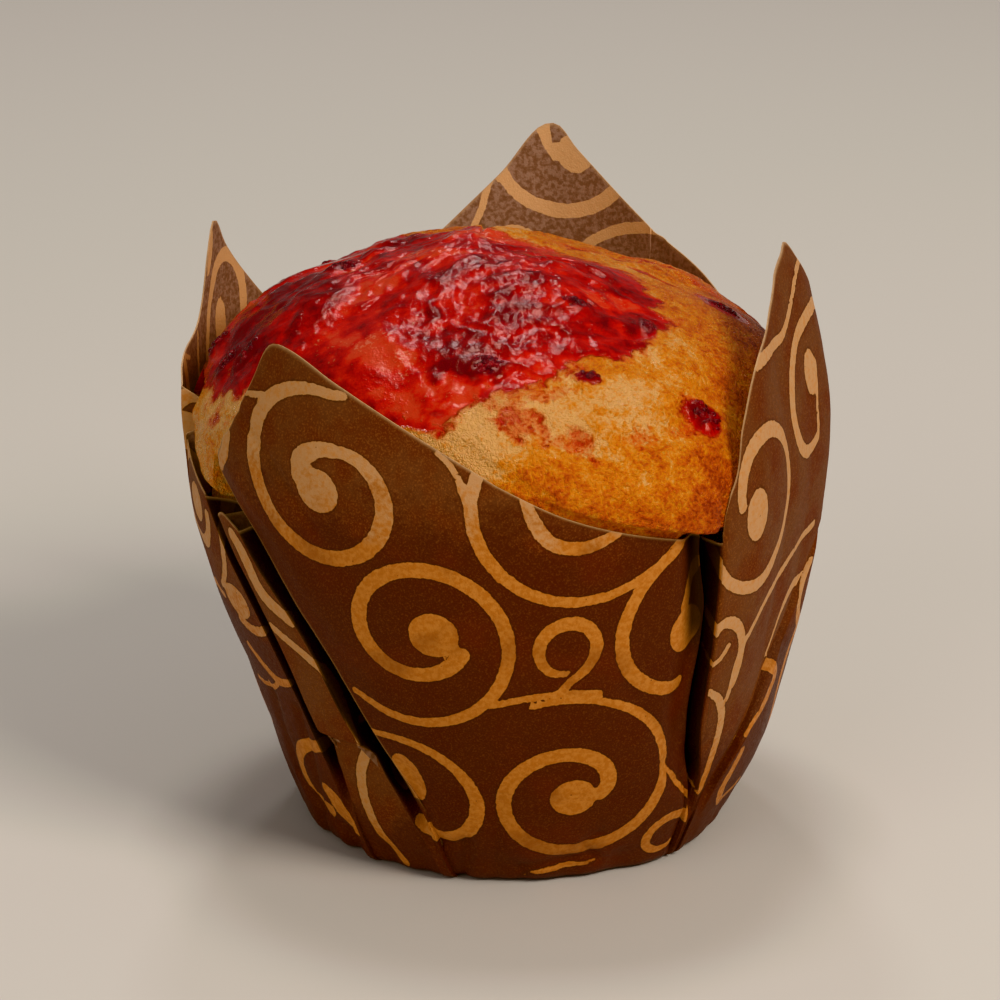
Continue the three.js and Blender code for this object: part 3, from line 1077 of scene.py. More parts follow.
RIGHT_MARKS = (
    Scroll(
        (-9, 41.5), (-3.5, 47.5), (6.5, 8.5), -175, 365,
        (1.2, 1.5, 1.6, 1.5, 1.7, 1.9, 1.4), 1.5,
    ),
    Drop((-8.9, 44.7), (2.1, 3.0)),
    Scroll((15.5, 51.5), (9.5, 54.5), (9.5, 7.5), 55, 230, (1.3, 1.6, 1.7, 1.6, 1.2), 1.1),
    Drop((11.1, 54.9), (1.7, 2.6)),
    Stem(((13, 55.6, 0.6), (11.9, 51.3, 0.7), (11.5, 47.6, 0.9))),
    Stem(
        ((-6, 60.6, 1.6), (-0.3, 60.9, 1.4), (5.4, 61.6, 1.1), (12.1, 65.5, 0.9),
         (17.6, 65.9, 0.8))
    ),
    Scroll((-10, 29), (-15, 25), (5, 6.5), 145, -150, (1.0, 1.4, 1.3, 1.1)),
    Stem(((-11.4, 29.9, 0.8), (-12.4, 28.5, 0.7), (-14.2, 27.7, 0.6))),
    Stem(
        ((-8.9, 22.7, 0.8), (-8.7, 28.4, 0.9), (-6.7, 31.3, 0.9), (-3.1, 33.8, 1.0),
         (1.1, 34.5, 1.0), (5.4, 35.9, 0.9), (12.6, 36.6, 1.0))
    ),
    Stem(((-12.8, 24.5, 0.8), (-10.3, 22.7, 1.1), (-8.5, 19.1, 1.2), (-7.6, 9.9, 1.0))),
    Stem(
        ((11.5, 30.6, 1.2), (8, 30.6, 1.5), (5.9, 29.7, 1.3), (4.4, 28.4, 0.8), (3.4, 26.4, 0.6),
         (2.2, 24.2, 0.6))
    ),
    Stem(
        ((-5.7, 8, 0.8), (-5.0, 11.2, 1.3), (-3.6, 15.5, 1.5), (-0.2, 18.6, 1.5), (4.4, 20.8, 1.5))
    ),
)

FAR_MARKS = (
    Stem(
        ((-0.6, 12.9, 1.3), (-1.6, 10.7, 1.5), (-2.2, 8.3, 1.5), (-0.6, 5.8, 1.2), (1.6, 6, 1),
         (3.3, 7.4, 0.8))
    ),
    Stem(((3.2, 22.8, 1.0), (5.6, 21.6, 1.6), (6.8, 19.8, 1.4), (4.6, 18.6, 0.8))),
    Stem(((5.5, 18.6, 1.0), (3.4, 17.5, 1.3), (1.1, 16.3, 1.1), (-0.8, 15.2, 0.6))),
    Scroll((17.5, 26.5), (18, 27), (5.5, 3), 120, 330, (1.0, 1.4, 1.5, 1.5, 1.4)),
    Drop((17.8, 26.5), (1.9, 2.1)),
)

LEFT_MARKS = (
    Drop((-4, 31.9), (2.9, 2.0)),
    Stem(((-4.5, 29.4, 1.1), (-1.3, 29.1, 1.3), (1.6, 30.1, 1.0))),
    Stem(((-5.2, 25.9, 1.0), (-2.7, 24.1, 1.2), (0.1, 23, 1.2), (3.4, 23.9, 0.8))),
    Stem(((-7.7, 20.5, 0.6), (-2.7, 21.2, 0.7), (0.1, 23, 0.6))),
    Stem(((-3.3, 21.6, 0.6), (-3.3, 18, 0.6))),
    Stem(
        ((5.9, 16.1, 1.6), (3.2, 15.4, 1.6), (0.2, 14.2, 1.7), (-2, 11.7, 1.6), (-2.2, 9, 1.1),
         (-1.5, 6.9, 0.8), (0.4, 6.4, 0.9))
    ),
    Stem(((2.7, 9.6, 1.3), (3.8, 8.6, 2.2), (4.6, 7.0, 2.6), (6.0, 5.0, 1.5), (6.9, 3.9, 0.5))),
    Drop((1.6, 6.0), (1.5, 1.1), 30),
    Scroll((-12, 40), (-11, 41), (9, 3.5), -60, 420, (0.8, 1.4, 1.7, 1.8, 1.6, 1.3), 0.8),
    Drop((-11.5, 41), (2.3, 2.2)),
    Stem(((-18, 28, 0.8), (-13, 30.5, 1.0), (-8, 31, 0.8))),
    Scroll((-16, 16), (-15, 16.5), (8, 3), 70, 420, (0.9, 1.4, 1.7, 1.8, 1.6), 0.8),
    Drop((-15.2, 16.6), (2.2, 2.1)),
)

BACK_MARKS = (
    Drop((-2.6, 69), (1.8, 2.4), -15),
    Stem(((0.7, 72.4, 1.4), (0.3, 70.5, 1.1), (-0.2, 69.2, 0.9), (-0.9, 68.1, 0.9))),
    Scroll((-1.6, 68.2), (-1.7, 68.2), (6.6, 6.6), 12, -195, (1.3, 1.5, 1.8, 1.8, 1.5)),
    Stem(
        ((-3.7, 57.1, 1.2), (-5.9, 58.9, 1.3), (-8.9, 60.2, 1.5), (-12.8, 60.4, 1.4),
         (-16, 58.6, 1.2))
    ),
    Scroll((3.9, 56.5), (4.2, 56.8), (3.3, 1.5), 150, -380, (0.9, 1.2, 1.2, 1.0)),
    Stem(((8.2, 59.4, 0.7), (6.9, 62.4, 0.8), (6.3, 64.8, 0.8), (5.9, 66.2, 1.0))),
)

PETAL_MARKS = (
    Stem(
        ((2.6, 48, 0.8), (1.6, 54.3, 0.9), (0.8, 57.7, 1.0), (-0.6, 61.3, 1.5), (-2.9, 62.4, 1.8),
         (-5.1, 60.6, 1.5), (-6.2, 57.4, 1.3), (-6.5, 52, 1.2))
    ),
    Stem(((1.1, 67.6, 1.1), (0.9, 64, 1.2), (1.4, 61.2, 0.7))),
    Drop((-1.6, 54.2), (1.2, 3.2)),
    Stem(((4.6, 55, 0.6), (4.9, 50, 0.8), (4.4, 45, 1.0))),
)

BASE_MARKS = (
    Scroll((4, 2), (3, 3), (11, 3.5), -120, 430, (0.9, 1.5, 1.8, 1.7, 1.8), 0.7),
    Drop((4.5, 3.2), (2.6, 2.4)),
    Scroll((-13, -8), (-12, -8.5), (8, 3), 60, -400, (0.8, 1.4, 1.7, 1.6), 0.7),
    Drop((-12, -8.5), (2.2, 2.0)),
    Stem(((-24, 6, 1.0), (-17, 11, 1.3), (-9, 14, 1.3), (-3, 20, 1.0))),
    Stem(((8, -24, 1.0), (9, -17, 1.3), (15, -12, 1.3), (23, -10, 1.0))),
)

FRONT_MARKS = (
    *HIGH_SCROLL, *MIDDLE_SCROLL, *LOW_SCROLL, *CURL, *LONG_ARC, *FOLDED_SCROLL, *SMALL_SCROLL,
    *FOOT_CURLS, *STRIP_STROKES,
)


FRONT_CREASES = (
    Crease(Stem(((-5.9, 5.3, 0), (-3.8, 5.7, 0), (-1.6, 6.3, 0))), 0.45, 1.3),
    Crease(Stem(((-1.7, 6.3, 0), (-2.2, 3, 0), (-2.7, -0.5, 0))), 0.5, 1.3),
    Crease(Stem(((-5.9, 5.3, 0), (-4.6, 2.6, 0), (-3.4, -0.3, 0))), 0.3, 1.1),
    Crease(Stem(((13.2, 6.4, 0), (11.4, 5.2, 0), (12.2, 3.6, 0), (13.2, 1.9, 0))), 0.35, 1.1),
    Crease(Stem(((4.3, 2.6, 0), (8.5, 3, 0), (12.6, 2.9, 0))), 0.45, 1.0),
    Crease(Stem(((24.2, 10.2, 0), (25, 6.1, 0), (23.9, 2.6, 0), (22.9, -0.6, 0))), 0.55, 1.4),
    Crease(Stem(((21.6, 14, 0), (23.4, 9.6, 0))), 0.35, 1.2),
    Crease(Stem(((2.2, 13, 0), (1.6, 6, 0), (1.2, -0.5, 0))), 0.4, 2.4),
    Crease(Stem(((-8.2, 16, 0), (-6.6, 10, 0), (-5.9, 5.3, 0))), 0.4, 1.6),
    Crease(
        Stem(
            ((-28.8, 52.4, 0), (-25.6, 50.8, 0), (-22.7, 48.7, 0), (-20.3, 46.8, 0),
             (-17.5, 43.8, 0))
        ),
        0.3, 1.0,
    ),
    Crease(Stem(((17, 26, 0), (20.5, 19, 0), (22, 14, 0))), 0.3, 2.2),
)

LEFT_CREASES = (
    Crease(Stem(((-4.6, 8, 0), (-1.6, 5, 0), (3, 3.4, 0), (6.8, 2.2, 0))), 0.9, 1.5),
    Crease(Stem(((-1.6, 5, 0), (-2.6, 2, 0), (-2.4, -0.5, 0))), 0.7, 1.3),
    Crease(Stem(((3, 3.4, 0), (2.6, -0.5, 0))), 0.7, 1.3),
    Crease(Stem(((-3.5, 20, 0), (-4.4, 14, 0), (-4.4, 9, 0))), 0.5, 1.8),
    Crease(Stem(((2.4, 20, 0), (1.4, 12.5, 0), (0.5, 8, 0))), 0.45, 1.5),
)


class Side(Enum):
    """Stretches of the print round the case, each with the marks that lie on it."""

    FRONT = Print(262, (Layer(FRONT_MARKS),), FRONT_CREASES)
    RIGHT = Print(330, (Layer(RIGHT_MARKS), Layer(MIDDLE_SCROLL, swing=45, shift=(9, -4))))
    FAR_RIGHT = Print(
        330,
        (
            Layer(FAR_MARKS),
            Layer((*LOW_SCROLL, *SMALL_SCROLL), swing=62, mirrored=True),
            Layer(HIGH_SCROLL, swing=45, shift=(19, -5)),
        ),
    )
    BACK = Print(
        84,
        (
            Layer(BACK_MARKS),
            Layer(
                (*MIDDLE_SCROLL, *LOW_SCROLL, *FOLDED_SCROLL, *SMALL_SCROLL),
                shift=(0, 50), turn=180,
            ),
            Layer(HIGH_SCROLL, shift=(-12, -3)),
        ),
    )
    BACK_LEFT = Print(
        126,
        (
            Layer(MIDDLE_SCROLL, shift=(3, -9)),
            Layer(HIGH_SCROLL, shift=(16, 0)),
            Layer(SMALL_SCROLL, shift=(5, -8)),
        ),
    )
    PETAL = Print(
        158,
        (
            Layer(PETAL_MARKS),
            Layer(
                (*MIDDLE_SCROLL, *LOW_SCROLL, *CURL, *SMALL_SCROLL), shift=(0, -8), mirrored=True,
            ),
            Layer(HIGH_SCROLL, shift=(36, -2)),
        ),
    )
    LEFT = Print(215, (Layer(LEFT_MARKS),), LEFT_CREASES)


@dataclass(frozen=True)
class Panel:
    """Paper between two pleats: the azimuth and height of points along the sheet's edge.

    greased is the height below which the paper is greased through. tucks are how far its two ends
    dive inwards, worn is how pale its two fold lines are, rubbed and with a painted highlight,
    steps are outward offsets at heights, and shade is how far painted shade reaches onto it from
    the pleat after it.
    """

    edge: Rows
    side: Side
    greased: float
    tucks: Span = (0, 0)
    worn_and_highlit: Span = (0.15, 0.15)
    steps: Rows = ((0, 0),)
    shade: float = 0.0


PLEATS = (
    Pleat((28, 29, 31, 33.5, 35.5, 37), (28.8, 30.2, 32.5, 35, 37, 38.5),
          (29.5, 31.5, 34, 36.5, 38.5, 40), 4, 3, 22, 43.5),
    Pleat((52, 53, 55, 57, 59, 61), (52.8, 54.2, 56.5, 58.5, 60.5, 62.5),
          (53.5, 55.5, 58, 60, 62, 64), 3.5, 3, 22, 58.2, 56),
    Pleat((106, 107, 109, 111, 113, 115), (106.8, 108.2, 110.5, 112.5, 114.5, 116.5),
          (107.5, 109.5, 112, 114, 116, 118), 4, 3, 22, 50.5),
    Pleat((130, 130, 131, 131, 132, 132), (130.8, 131.2, 132.5, 132.5, 133.5, 133.5),
          (131.5, 132.5, 134, 134, 135, 135), 3.5, 3, 22, 48),
    Pleat((176, 177, 179, 182, 185.5, 187), (177, 178.5, 181, 184, 188, 190),
          (178, 180, 183, 186, 190, 192), 3.5, 8, 38, 47.5),
    Pleat((228.5, 225.6, 221.2, 216, 205.5, 190), (229.6, 227.2, 223.2, 218.1, 207.8, 192),
          (230.4, 228, 223.8, 218.6, 208.2, 192.6), 4.4, 5, 15, 40.2),
    Pleat((251.4, 244.4, 235, 228, 215, 200), (253, 247.4, 238, 230.4, 217.4, 197.4),
          (254, 248.2, 238.8, 231, 218.4, 197.8), 5.4, 4, 14, 41.4),
    Pleat((314.7, 312, 307.1, 306.7, 306.4, 305.4), (315.2, 313.2, 308.8, 308.6, 308.4, 307.4),
          (315.5, 313.6, 307.9, 307, 306.6, 305.6), 5.0, 5, 15, 40.6),
    Pleat((316.4, 317.4, 330, 349, 363, 375), (317, 319.8, 333, 351, 364.2, 376.5),
          (317.6, 322.6, 341, 354.5, 366, 378), 3.4, 5, 13, 53.5),
)

PANELS = (
    Panel(((378, 54), (391, 42.8), (395.8, 45.2)), Side.FAR_RIGHT, 25),
    Panel(((39.2, 47), (46, 51.6), (52.3, 54.8), (61, 57.8)), Side.BACK, 32),
    Panel(
        ((64, 58.9), (66.6, 60.2), (70.8, 62.4), (74.8, 64.7), (79, 67.3), (83.1, 70.1), (84.6, 70),
         (92.3, 64.3), (101.5, 58.7), (114.6, 51.4)),
        Side.BACK, 36,
    ),
    Panel(((117.4, 49.8), (126, 44.5), (132, 47.6)), Side.BACK_LEFT, 30),
    Panel(
        ((135, 49.2), (142, 53.8), (153.5, 61.9), (156.6, 64.6), (158, 65.2), (159.3, 64.2),
         (160.8, 60.8), (163.2, 55.8), (165.9, 53.8), (170, 53), (177.8, 52.6), (187, 51)),
        Side.PETAL, 34,
    ),
    Panel(((190.8, 46.5), (194, 44), (202.2, 41.6)), Side.LEFT, 30),
    Panel(
        ((205.8, 40.2), (209.6, 41), (213.4, 39.8)), Side.FRONT, 8,
        worn_and_highlit=(0.3, 0.35), steps=((0, 0), (13, -0.5), (15.8, -1.1), (17, 0.3), (20, 0.35), (27, 0)),
    ),
    Panel(
        ((208, 45.6), (212.8, 50.8), (215.9, 54.6), (218.2, 57.5), (219.7, 60.3), (221, 61.2),
         (222.5, 61.4), (226.4, 61.1), (236.1, 59.1), (246.8, 56.4), (263.8, 51), (277.9, 46.4),
         (287.1, 44.4), (298, 42.6), (304.6, 41.4)),
        Side.FRONT, 46, tucks=(0.4, 1.8), worn_and_highlit=(0.95, 0), shade=6.5,
    ),
    Panel(
        ((305.6, 41.2), (307, 45.1), (309.8, 48.6), (312.1, 53), (319.1, 58.2), (327.8, 61),
         (336, 64.2), (343.4, 66.2), (348, 66.9), (351.6, 67.5), (354, 66.8), (358, 64.6),
         (366, 60.9), (375, 56)),
        Side.RIGHT, 16,
    ),
)


@dataclass
class Stretch:
    """Part of the sheet between two folds, drawn in close steps for every row of the mesh.

    points and flat have a row for each row of the mesh: places in space and on the flat sheet.
    """

    points: np.ndarray
    flat: np.ndarray
    side: Side
    greased: float
    columns: int
    panel: bool


@dataclass
class TulipCase:
    """The printed sheet, folded into a tulip, with both its sides and its cut edge."""

    wall: TulipWall = field(default_factory=TulipWall)
    thickness: float = 0.16
    hidden_thickness: float = 0.5
    column_width: float = 0.54
    flank_columns: int = 7
    outer_rows: int = 105
    hidden_rows: int = 7
    shown_rows: int = 36
    shown_from: float = 0.6
    draw_step: float = 0.25
    fold_radius: float = 0.28
    fold_samples: int = 2048
    crowding: float = 0.35
    base_rings: tuple[float, ...] = (0.35, 0.7, 0.9)
    crumple: float = 0.35
    crumple_size: float = 8.0
    foot_crumple: float = 0.7
    foot_height: float = 9.0
    wrinkles: int = 34
    foot_roundness: float = 1.3
    foot_inset: float = 0.9
    tuck_width: float = 5.0
    tuck_rise: Span = (7, 16)
    tuck_mouth: Span = (33, 40)
    tuck_opening: float = 0.8
    flank_power: float = 1.8
    # width, rise and top of the pale fold lines, rubbed paper with a painted highlight
    wear_highlight_width: float = 0.34
    # dark_from and dark_depths place the painted shade on the pleats' flanks
    dark_from: Span = (-0.12, 0.06)
    dark_depths: Span = (3.2, 4.4)
    shade_rise: Span = (20, 34)
    flank_share: float = 0.25
    flank_steps: int = 24
    width_samples: int = 12
    spare_steps: int = 4
    upright_from: Span = (0.3, 4)
    hidden_blend: float = 0.1
    grease_blend: float = 16.0
    # how strongly the painted shade of the folds is stored in the grease attribute
    fold_shade_strength: float = 2.0
    wear_highlight_rise: Span = (6, 14)
    wear_highlight_top: float = 58.0
    shade_start: float = 1.2
    crumple_layers: int = 3
    wrinkle_place: Span = (0.1, 0.9)
    wrinkle_lean: Span = (-0.8, 0.8)
    wrinkle_height: Span = (4, 13)
    wrinkle_depth: Span = (0.12, 0.5)
    wrinkle_width: Span = (0.6, 1.7)
    wrinkle_fade: float = 0.4
    base_print: Layer = Layer(BASE_MARKS)
    seed: int = 11
    VALUES = ("ink", "grease_and_shade", "inside", "edge")

    def build(self) -> bpy.types.Object:
        """Makes the paper.

        Returns:
            The case, dressed in printed parchment.
        """
        outside = self._surface(self._outer_parts(), inside=False)
        within = self._surface(self._inner_parts(), inside=True)
        mesh = MeshParts()
        loops, values = [], []
        for surface in (outside, within):
            for row in range(len(surface["points"])):
                loops.append(mesh.add(surface["points"][row]))
                values.append({key: surface[key][row] for key in self.VALUES})
        count = outside["points"].shape[1]
        for lower, upper in zip(loops, loops[1:]):
            mesh.band(lower, upper, count)
        values += self._base(mesh, outside["points"][0], loops[0], False)
        values += self._base(mesh, within["points"][-1], loops[-1], True)
        joined = {key: np.concatenate([value[key] for value in values]) for key in values[0]}
        piece = mesh.build("printed_case", joined)
        piece.data.materials.append(PrintedParchment().build())
        return piece

    def _outer_parts(self) -> np.ndarray:
        """Shares of the height where the outside's rows lie, from the base to the cut edge."""
        return np.linspace(0, 1, self.outer_rows + 1)

    def _inner_parts(self) -> np.ndarray:
        """Shares of the height where the inside's rows lie, from the cut edge down."""
        hidden = np.linspace(0, self.shown_from, self.hidden_rows, endpoint=False)
        shown = np.linspace(self.shown_from, 1, self.shown_rows + 1)
        return np.concatenate([hidden, shown])[::-1]

    def _rim(self, panel: Panel, index: int, share: np.ndarray) -> np.ndarray:
        """Height of the sheet's edge over a panel.

        Args:
            panel: The panel.
            index: Its number.
            share: Shares of the way from the pleat before it to the pleat after it.

        Returns:
            The heights.
        """
        knots = np.array(panel.edge)
        start, end = self._bounds(index, knots[:, 1])
        across = (knots[:, 0] - start) / (end - start)
        across[[0, -1]] = (0, 1)
        return eased(across, knots[:, 1], share)

    def _bounds(self, index: int, z: np.ndarray) -> Pair:
        """Azimuths of a panel's two fold lines at heights."""
        before, after = PLEATS[index - 1], PLEATS[index]
        return before.line(before.last, z), after.line(after.first, z) + (360 if index == 0 else 0)

    def _width(self, index: int, z: np.ndarray) -> np.ndarray:
        """Measures a panel across, along the round wall.

        Args:
            index: The panel's number.
            z: Heights.

        Returns:
            Its width at the heights.
        """
        start, end = self._bounds(index, z)
        return (end - start) * math.pi / 180 * self.wall.round_radius(z)

    def _stretches(self, parts: np.ndarray, lift: float) -> list[Stretch]:
        """Draws the folded sheet for rows of the mesh, stretch by stretch, in order round it.

        Args:
            parts: Shares of the height where the rows lie.
            lift: Height of the first row.

        Returns:
            The stretches: each panel and then the two flanks of the pleat after it.
        """
        parts = parts[:, None]
        panels = []
        for index, panel in enumerate(PANELS):
            middle = self._rim(panel, index, np.array([0.5]))[0]
            widest = max(self._width(index, z) for z in np.linspace(0, middle, self.width_samples))
            share = np.linspace(0, 1, int(widest / self.draw_step) + self.spare_steps)[None]
            z = lift + (self._rim(panel, index, share) - lift) * parts
            start, end = self._bounds(index, z)
            azimuth = start + (end - start) * share
            reach = self.wall.radius(azimuth, z) + along(panel.steps, z)
            width = self._width(index, z)
            mouth = 1 + self.tuck_opening * smoothstep(z, *self.tuck_mouth)
            for tuck, away in zip(panel.tucks, (share, 1 - share)):
                dive = 1 - smoothstep(away * width, 0, self.tuck_width)
                reach = reach - tuck * dive * mouth * smoothstep(z, *self.tuck_rise)
            points = polar(azimuth, reach, z)
            around = np.radians(azimuth - panel.side.value.azimuth)
            flat = self._flatten(around * self.wall.round_radius(z), z)
            columns = int(widest / self.column_width) + 2
            panels.append(Stretch(points, flat, panel.side, panel.greased, columns, True))
        stretches = []
        for index, pleat in enumerate(PLEATS):
            following = panels[(index + 1) % len(panels)]
            z = lift + (pleat.rim - lift) * parts
            azimuth = pleat.line(pleat.bottom, z)
            bottom = polar(azimuth, self.wall.radius(azimuth, z) - pleat.depth_at(z), z)
            stretches += [
                panels[index],
                self._flank(panels[index], bottom, after=True),
                self._flank(following, bottom, after=False),
            ]
        return stretches

    def _flatten(self, sideways: np.ndarray, z: np.ndarray) -> np.ndarray:
        """Places on the flat sheet from lengths round the wall and heights."""
        reach = CONE_REACH + self.wall.climb(z)
        turn = sideways / reach
        return np.stack([reach * np.sin(turn), reach * np.cos(turn) - CONE_REACH], axis=-1)

    def _flank(self, panel: Stretch, bottom: np.ndarray, after: bool) -> Stretch:
        """One side of a pleat. It dives from the panel's fold line and turns to the pleat's bottom.

        Args:
            panel: The panel that the side continues.
            bottom: The bottom of the pleat in every row.
            after: Whether the pleat comes after the panel.

        Returns:
            The stretch, in order round the case.
        """
        fold = panel.points[:, -1:] if after else panel.points[:, :1]
        origin = panel.flat[:, -1:] if after else panel.flat[:, :1]
        onward = unit(origin - (panel.flat[:, -2:-1] if after else panel.flat[:, 1:2]))
        share = np.linspace(0, 1, self.flank_steps)[None]
        turns = [np.degrees(np.arctan2(line[..., 1], line[..., 0])) for line in (fold, bottom)]
        reaches = [np.hypot(line[..., 0], line[..., 1]) for line in (fold, bottom)]
        swing = np.mod(turns[1] - turns[0] + 180, 360) - 180
        dive = 1 - (1 - share) ** self.flank_power
        points = polar(
            turns[0] + swing * share**self.flank_power,
            reaches[0] + (reaches[1] - reaches[0]) * dive,
            fold[..., 2] + (bottom[..., 2] - fold[..., 2]) * share,
        )
        steps = np.linalg.norm(np.diff(points, axis=1), axis=-1, keepdims=True)
        gone = np.concatenate([np.zeros_like(steps[:, :1]), np.cumsum(steps, axis=1)], axis=1)
        flat = origin + onward * gone
        if not after:
            points, flat = points[:, ::-1], flat[:, ::-1]
        return Stretch(points, flat, panel.side, panel.greased, self.flank_columns, False)

    def _surface(self, parts: np.ndarray, inside: bool) -> dict[str, np.ndarray]:
        """Places and values of one side of the sheet.

        Args:
            parts: Shares of the height where the rows lie.
            inside: Whether it is the inner side.

        Returns:
            points, ink, grease (with the painted shade of the folds above 1), inside and edge, each
            with one row for each row of the mesh.
        """
        stretches = self._stretches(parts, self.thickness if inside else 0.0)
        rows = len(parts)
        gather = {"ink": [], "grease_and_shade": [], "flank": [], "crease": []}
        flats: list[list[np.ndarray]] = [[] for _ in stretches]
        points = np.array([self._resample(stretches, row, flats) for row in range(rows)])
        around = np.roll(points, -1, axis=1) - np.roll(points, 1, axis=1)
        normals = np.cross(around, np.gradient(points, axis=0)) * (-1 if inside else 1)
        normals[..., 2] *= smoothstep(points[..., 2], *self.upright_from)
        normals = unit(normals)
        for stretch, flat in zip(stretches, flats):
            flat = np.array(flat)
            ink = stretch.side.value.ink(flat.reshape(-1, 2)).reshape(rows, -1)
            gather["ink"].append(ink)
            gather["crease"].append(stretch.side.value.dent(flat.reshape(-1, 2)).reshape(rows, -1))
            gather["grease_and_shade"].append(np.full(ink.shape, stretch.greased))
            gather["flank"].append(np.full(ink.shape, 0.0 if stretch.panel else 1.0))
        ink, greased, flank, crease = (np.concatenate(rows, axis=1) for rows in gather.values())
        z = points[..., 2]
        calm = 1 - flank * (1 - self.flank_share)
        # edge is the pale rubbed fold lines with a painted highlight, and fold is the painted shade
        # in the pleats
        edge, fold = self._wear_highlight_and_shade(points, stretches)
        edge = edge * (not inside)
        low = np.clip(1 - z / self.foot_roundness, 0, 1)
        inset = self.foot_inset * (1 - np.sqrt(1 - low**2))
        points = points - normals * ((self.dent(points) + crease) * calm + inset)[..., None]
        if inside:
            shown = smoothstep(parts, self.shown_from - self.hidden_blend, self.shown_from)
            thickness = self.thickness + self.hidden_thickness * (1 - shown)
            points = points - normals * thickness[:, None, None]
        soaked = np.clip((greased - z) / self.grease_blend + 0.5, 0, 1)
        # painted shade: the fold's darkness is stored above 1, on top of the real grease below 1
        grease_and_shade = np.maximum(soaked, 0 if inside else self.fold_shade_strength * fold)
        # the cut edge row is pale: cut paper, partly painted as a highlight
        edge[-1 if not inside else 0] = 1
        return {
            "points": points,
            "ink": ink,
            "grease_and_shade": grease_and_shade,
            "inside": np.full(ink.shape, float(inside)),
            "edge": edge,
        }

    def _wear_highlight_and_shade(self, points: np.ndarray, stretches: list[Stretch]) -> Pair:
        """How pale the fold lines are, rubbed and with a painted highlight, and the painted shade
        deep in the pleats and on a panel's tucked end.

        Args:
            points: The surface's points, with one row for each row of the mesh.
            stretches: The stretches that its columns belong to.

        Returns:
            The wear with its painted highlight, and the painted shade, from 0 to 1.
        """
        z = points[..., 2]
        wear_and_highlight, dark = np.zeros(z.shape), np.zeros(z.shape)
        first = 0
        for number, stretch in enumerate(stretches):
            last = first + stretch.columns
            if stretch.panel:
                closed = points[:, np.arange(first, last + 1) % points.shape[1]]
                steps = np.linalg.norm(np.diff(closed, axis=1), axis=-1)
                gone = np.cumsum(steps, axis=1)
                before = gone - steps
                left = gone[:, -1:] - before
                panel = PANELS[number // 3]
                # pale bands along the two fold lines: rubbed paper with a painted highlight on the
                # fold
                wear_and_highlight[:, first:last] = sum(
                    strength * np.exp(-((away / self.wear_highlight_width) ** 2))
                    for strength, away in zip(panel.worn_and_highlit, (before, left))
                )
                wear_and_highlight[:, last % points.shape[1]] = panel.worn_and_highlit[1]
                # painted shadow on the panel's end that tucks under the next panel, rising with
                # height
                shaded = np.clip(self.shade_start - left / max(panel.shade, TINY), 0, 1)
                dark[:, first:last] = shaded * smoothstep(z[:, first:last], *self.shade_rise)
            else:
                # painted shade on the pleat's flanks, darker towards its bottom and in deeper
                # pleats
                deep = crowded(stretch.columns, self.crowding)
                deep = smoothstep(deep if number % 3 == 1 else 1 - deep, *self.dark_from)
                pleat = PLEATS[number // 3]
                deep = deep * smoothstep(pleat.depth, *self.dark_depths)
                dark[:, first:last] = deep * pleat.depth_at(z[:, first:last]) / pleat.depth
            first = last
        return wear_and_highlight * smoothstep(z, *self.wear_highlight_rise) * (z < self.wear_highlight_top), dark

    def dent(self, points: np.ndarray) -> np.ndarray:
        """How far the crumpled paper is dented inwards at points of its wall."""
        z = points[..., 2]
        low = 1 - smoothstep(z, 0, self.foot_height)
        swell = self.crumple + self.foot_crumple * low
        lumps = Unevenness(self.seed).at(points, self.crumple_size, self.crumple_layers)
        crumpled = (1 - lumps) / 2 * swell
        azimuth = np.degrees(np.arctan2(points[..., 1], points[..., 0]))
        draw = np.random.default_rng(self.seed)
        for number in range(self.wrinkles):
            place = (number + draw.uniform(*self.wrinkle_place)) * 360 / self.wrinkles
            lean, height = draw.uniform(*self.wrinkle_lean), draw.uniform(*self.wrinkle_height)
            depth, width = draw.uniform(*self.wrinkle_depth), draw.uniform(*self.wrinkle_width)
            away = np.mod(azimuth - place - lean * z + 180, 360) - 180
            along_foot = np.radians(away) * self.wall.base_radius / width
            fade = 1 - smoothstep(z, height * self.wrinkle_fade, height)
            crumpled = crumpled + depth * fade * np.exp(-(along_foot**2))
        return crumpled

    def _resample(
        self, stretches: list[Stretch], row: int, flats: list[list[np.ndarray]]
    ) -> np.ndarray:
        """Rounds the folds of one row and places its columns.

        Args:
            stretches: The drawn sheet.
            row: The row's number.
            flats: Where the columns' places on the flat sheet are added, stretch by stretch.

        Returns:
            The row's points.
        """
        drawn = np.concatenate([stretch.points[row, :-1] for stretch in stretches])
        ends = np.cumsum([stretch.points.shape[1] - 1 for stretch in stretches])
        steps = np.linalg.norm(np.roll(drawn, -1, axis=0) - drawn, axis=1)
        arc = np.concatenate([[0], np.cumsum(steps)])
        closed = np.concatenate([drawn, drawn[:1]])
        even = np.arange(self.fold_samples) * arc[-1] / self.fold_samples
        sampled = np.stack([np.interp(even, arc, closed[:, axis]) for axis in range(3)], axis=-1)
        waves = np.fft.rfftfreq(self.fold_samples, arc[-1] / self.fold_samples)
        damping = np.exp(-2 * (np.pi * self.fold_radius * waves) ** 2)[:, None]
        rounded = np.fft.irfft(np.fft.rfft(sampled, axis=0) * damping, self.fold_samples, axis=0)
        wanted = []
        start = 0
        for number, stretch in enumerate(stretches):
            low, high = arc[start], arc[ends[number]]
            places = low + (high - low) * crowded(stretch.columns, self.crowding)
            wanted.append(places)
            own = arc[start : ends[number] + 1]
            flat = stretch.flat[row]
            flats[number].append(
                np.stack([np.interp(places, own, flat[:, axis]) for axis in range(2)], axis=-1)
            )
            start = ends[number]
        wanted = np.concatenate(wanted)
        return np.stack(
            [np.interp(wanted, even, rounded[:, axis], period=arc[-1]) for axis in range(3)], -1
        )

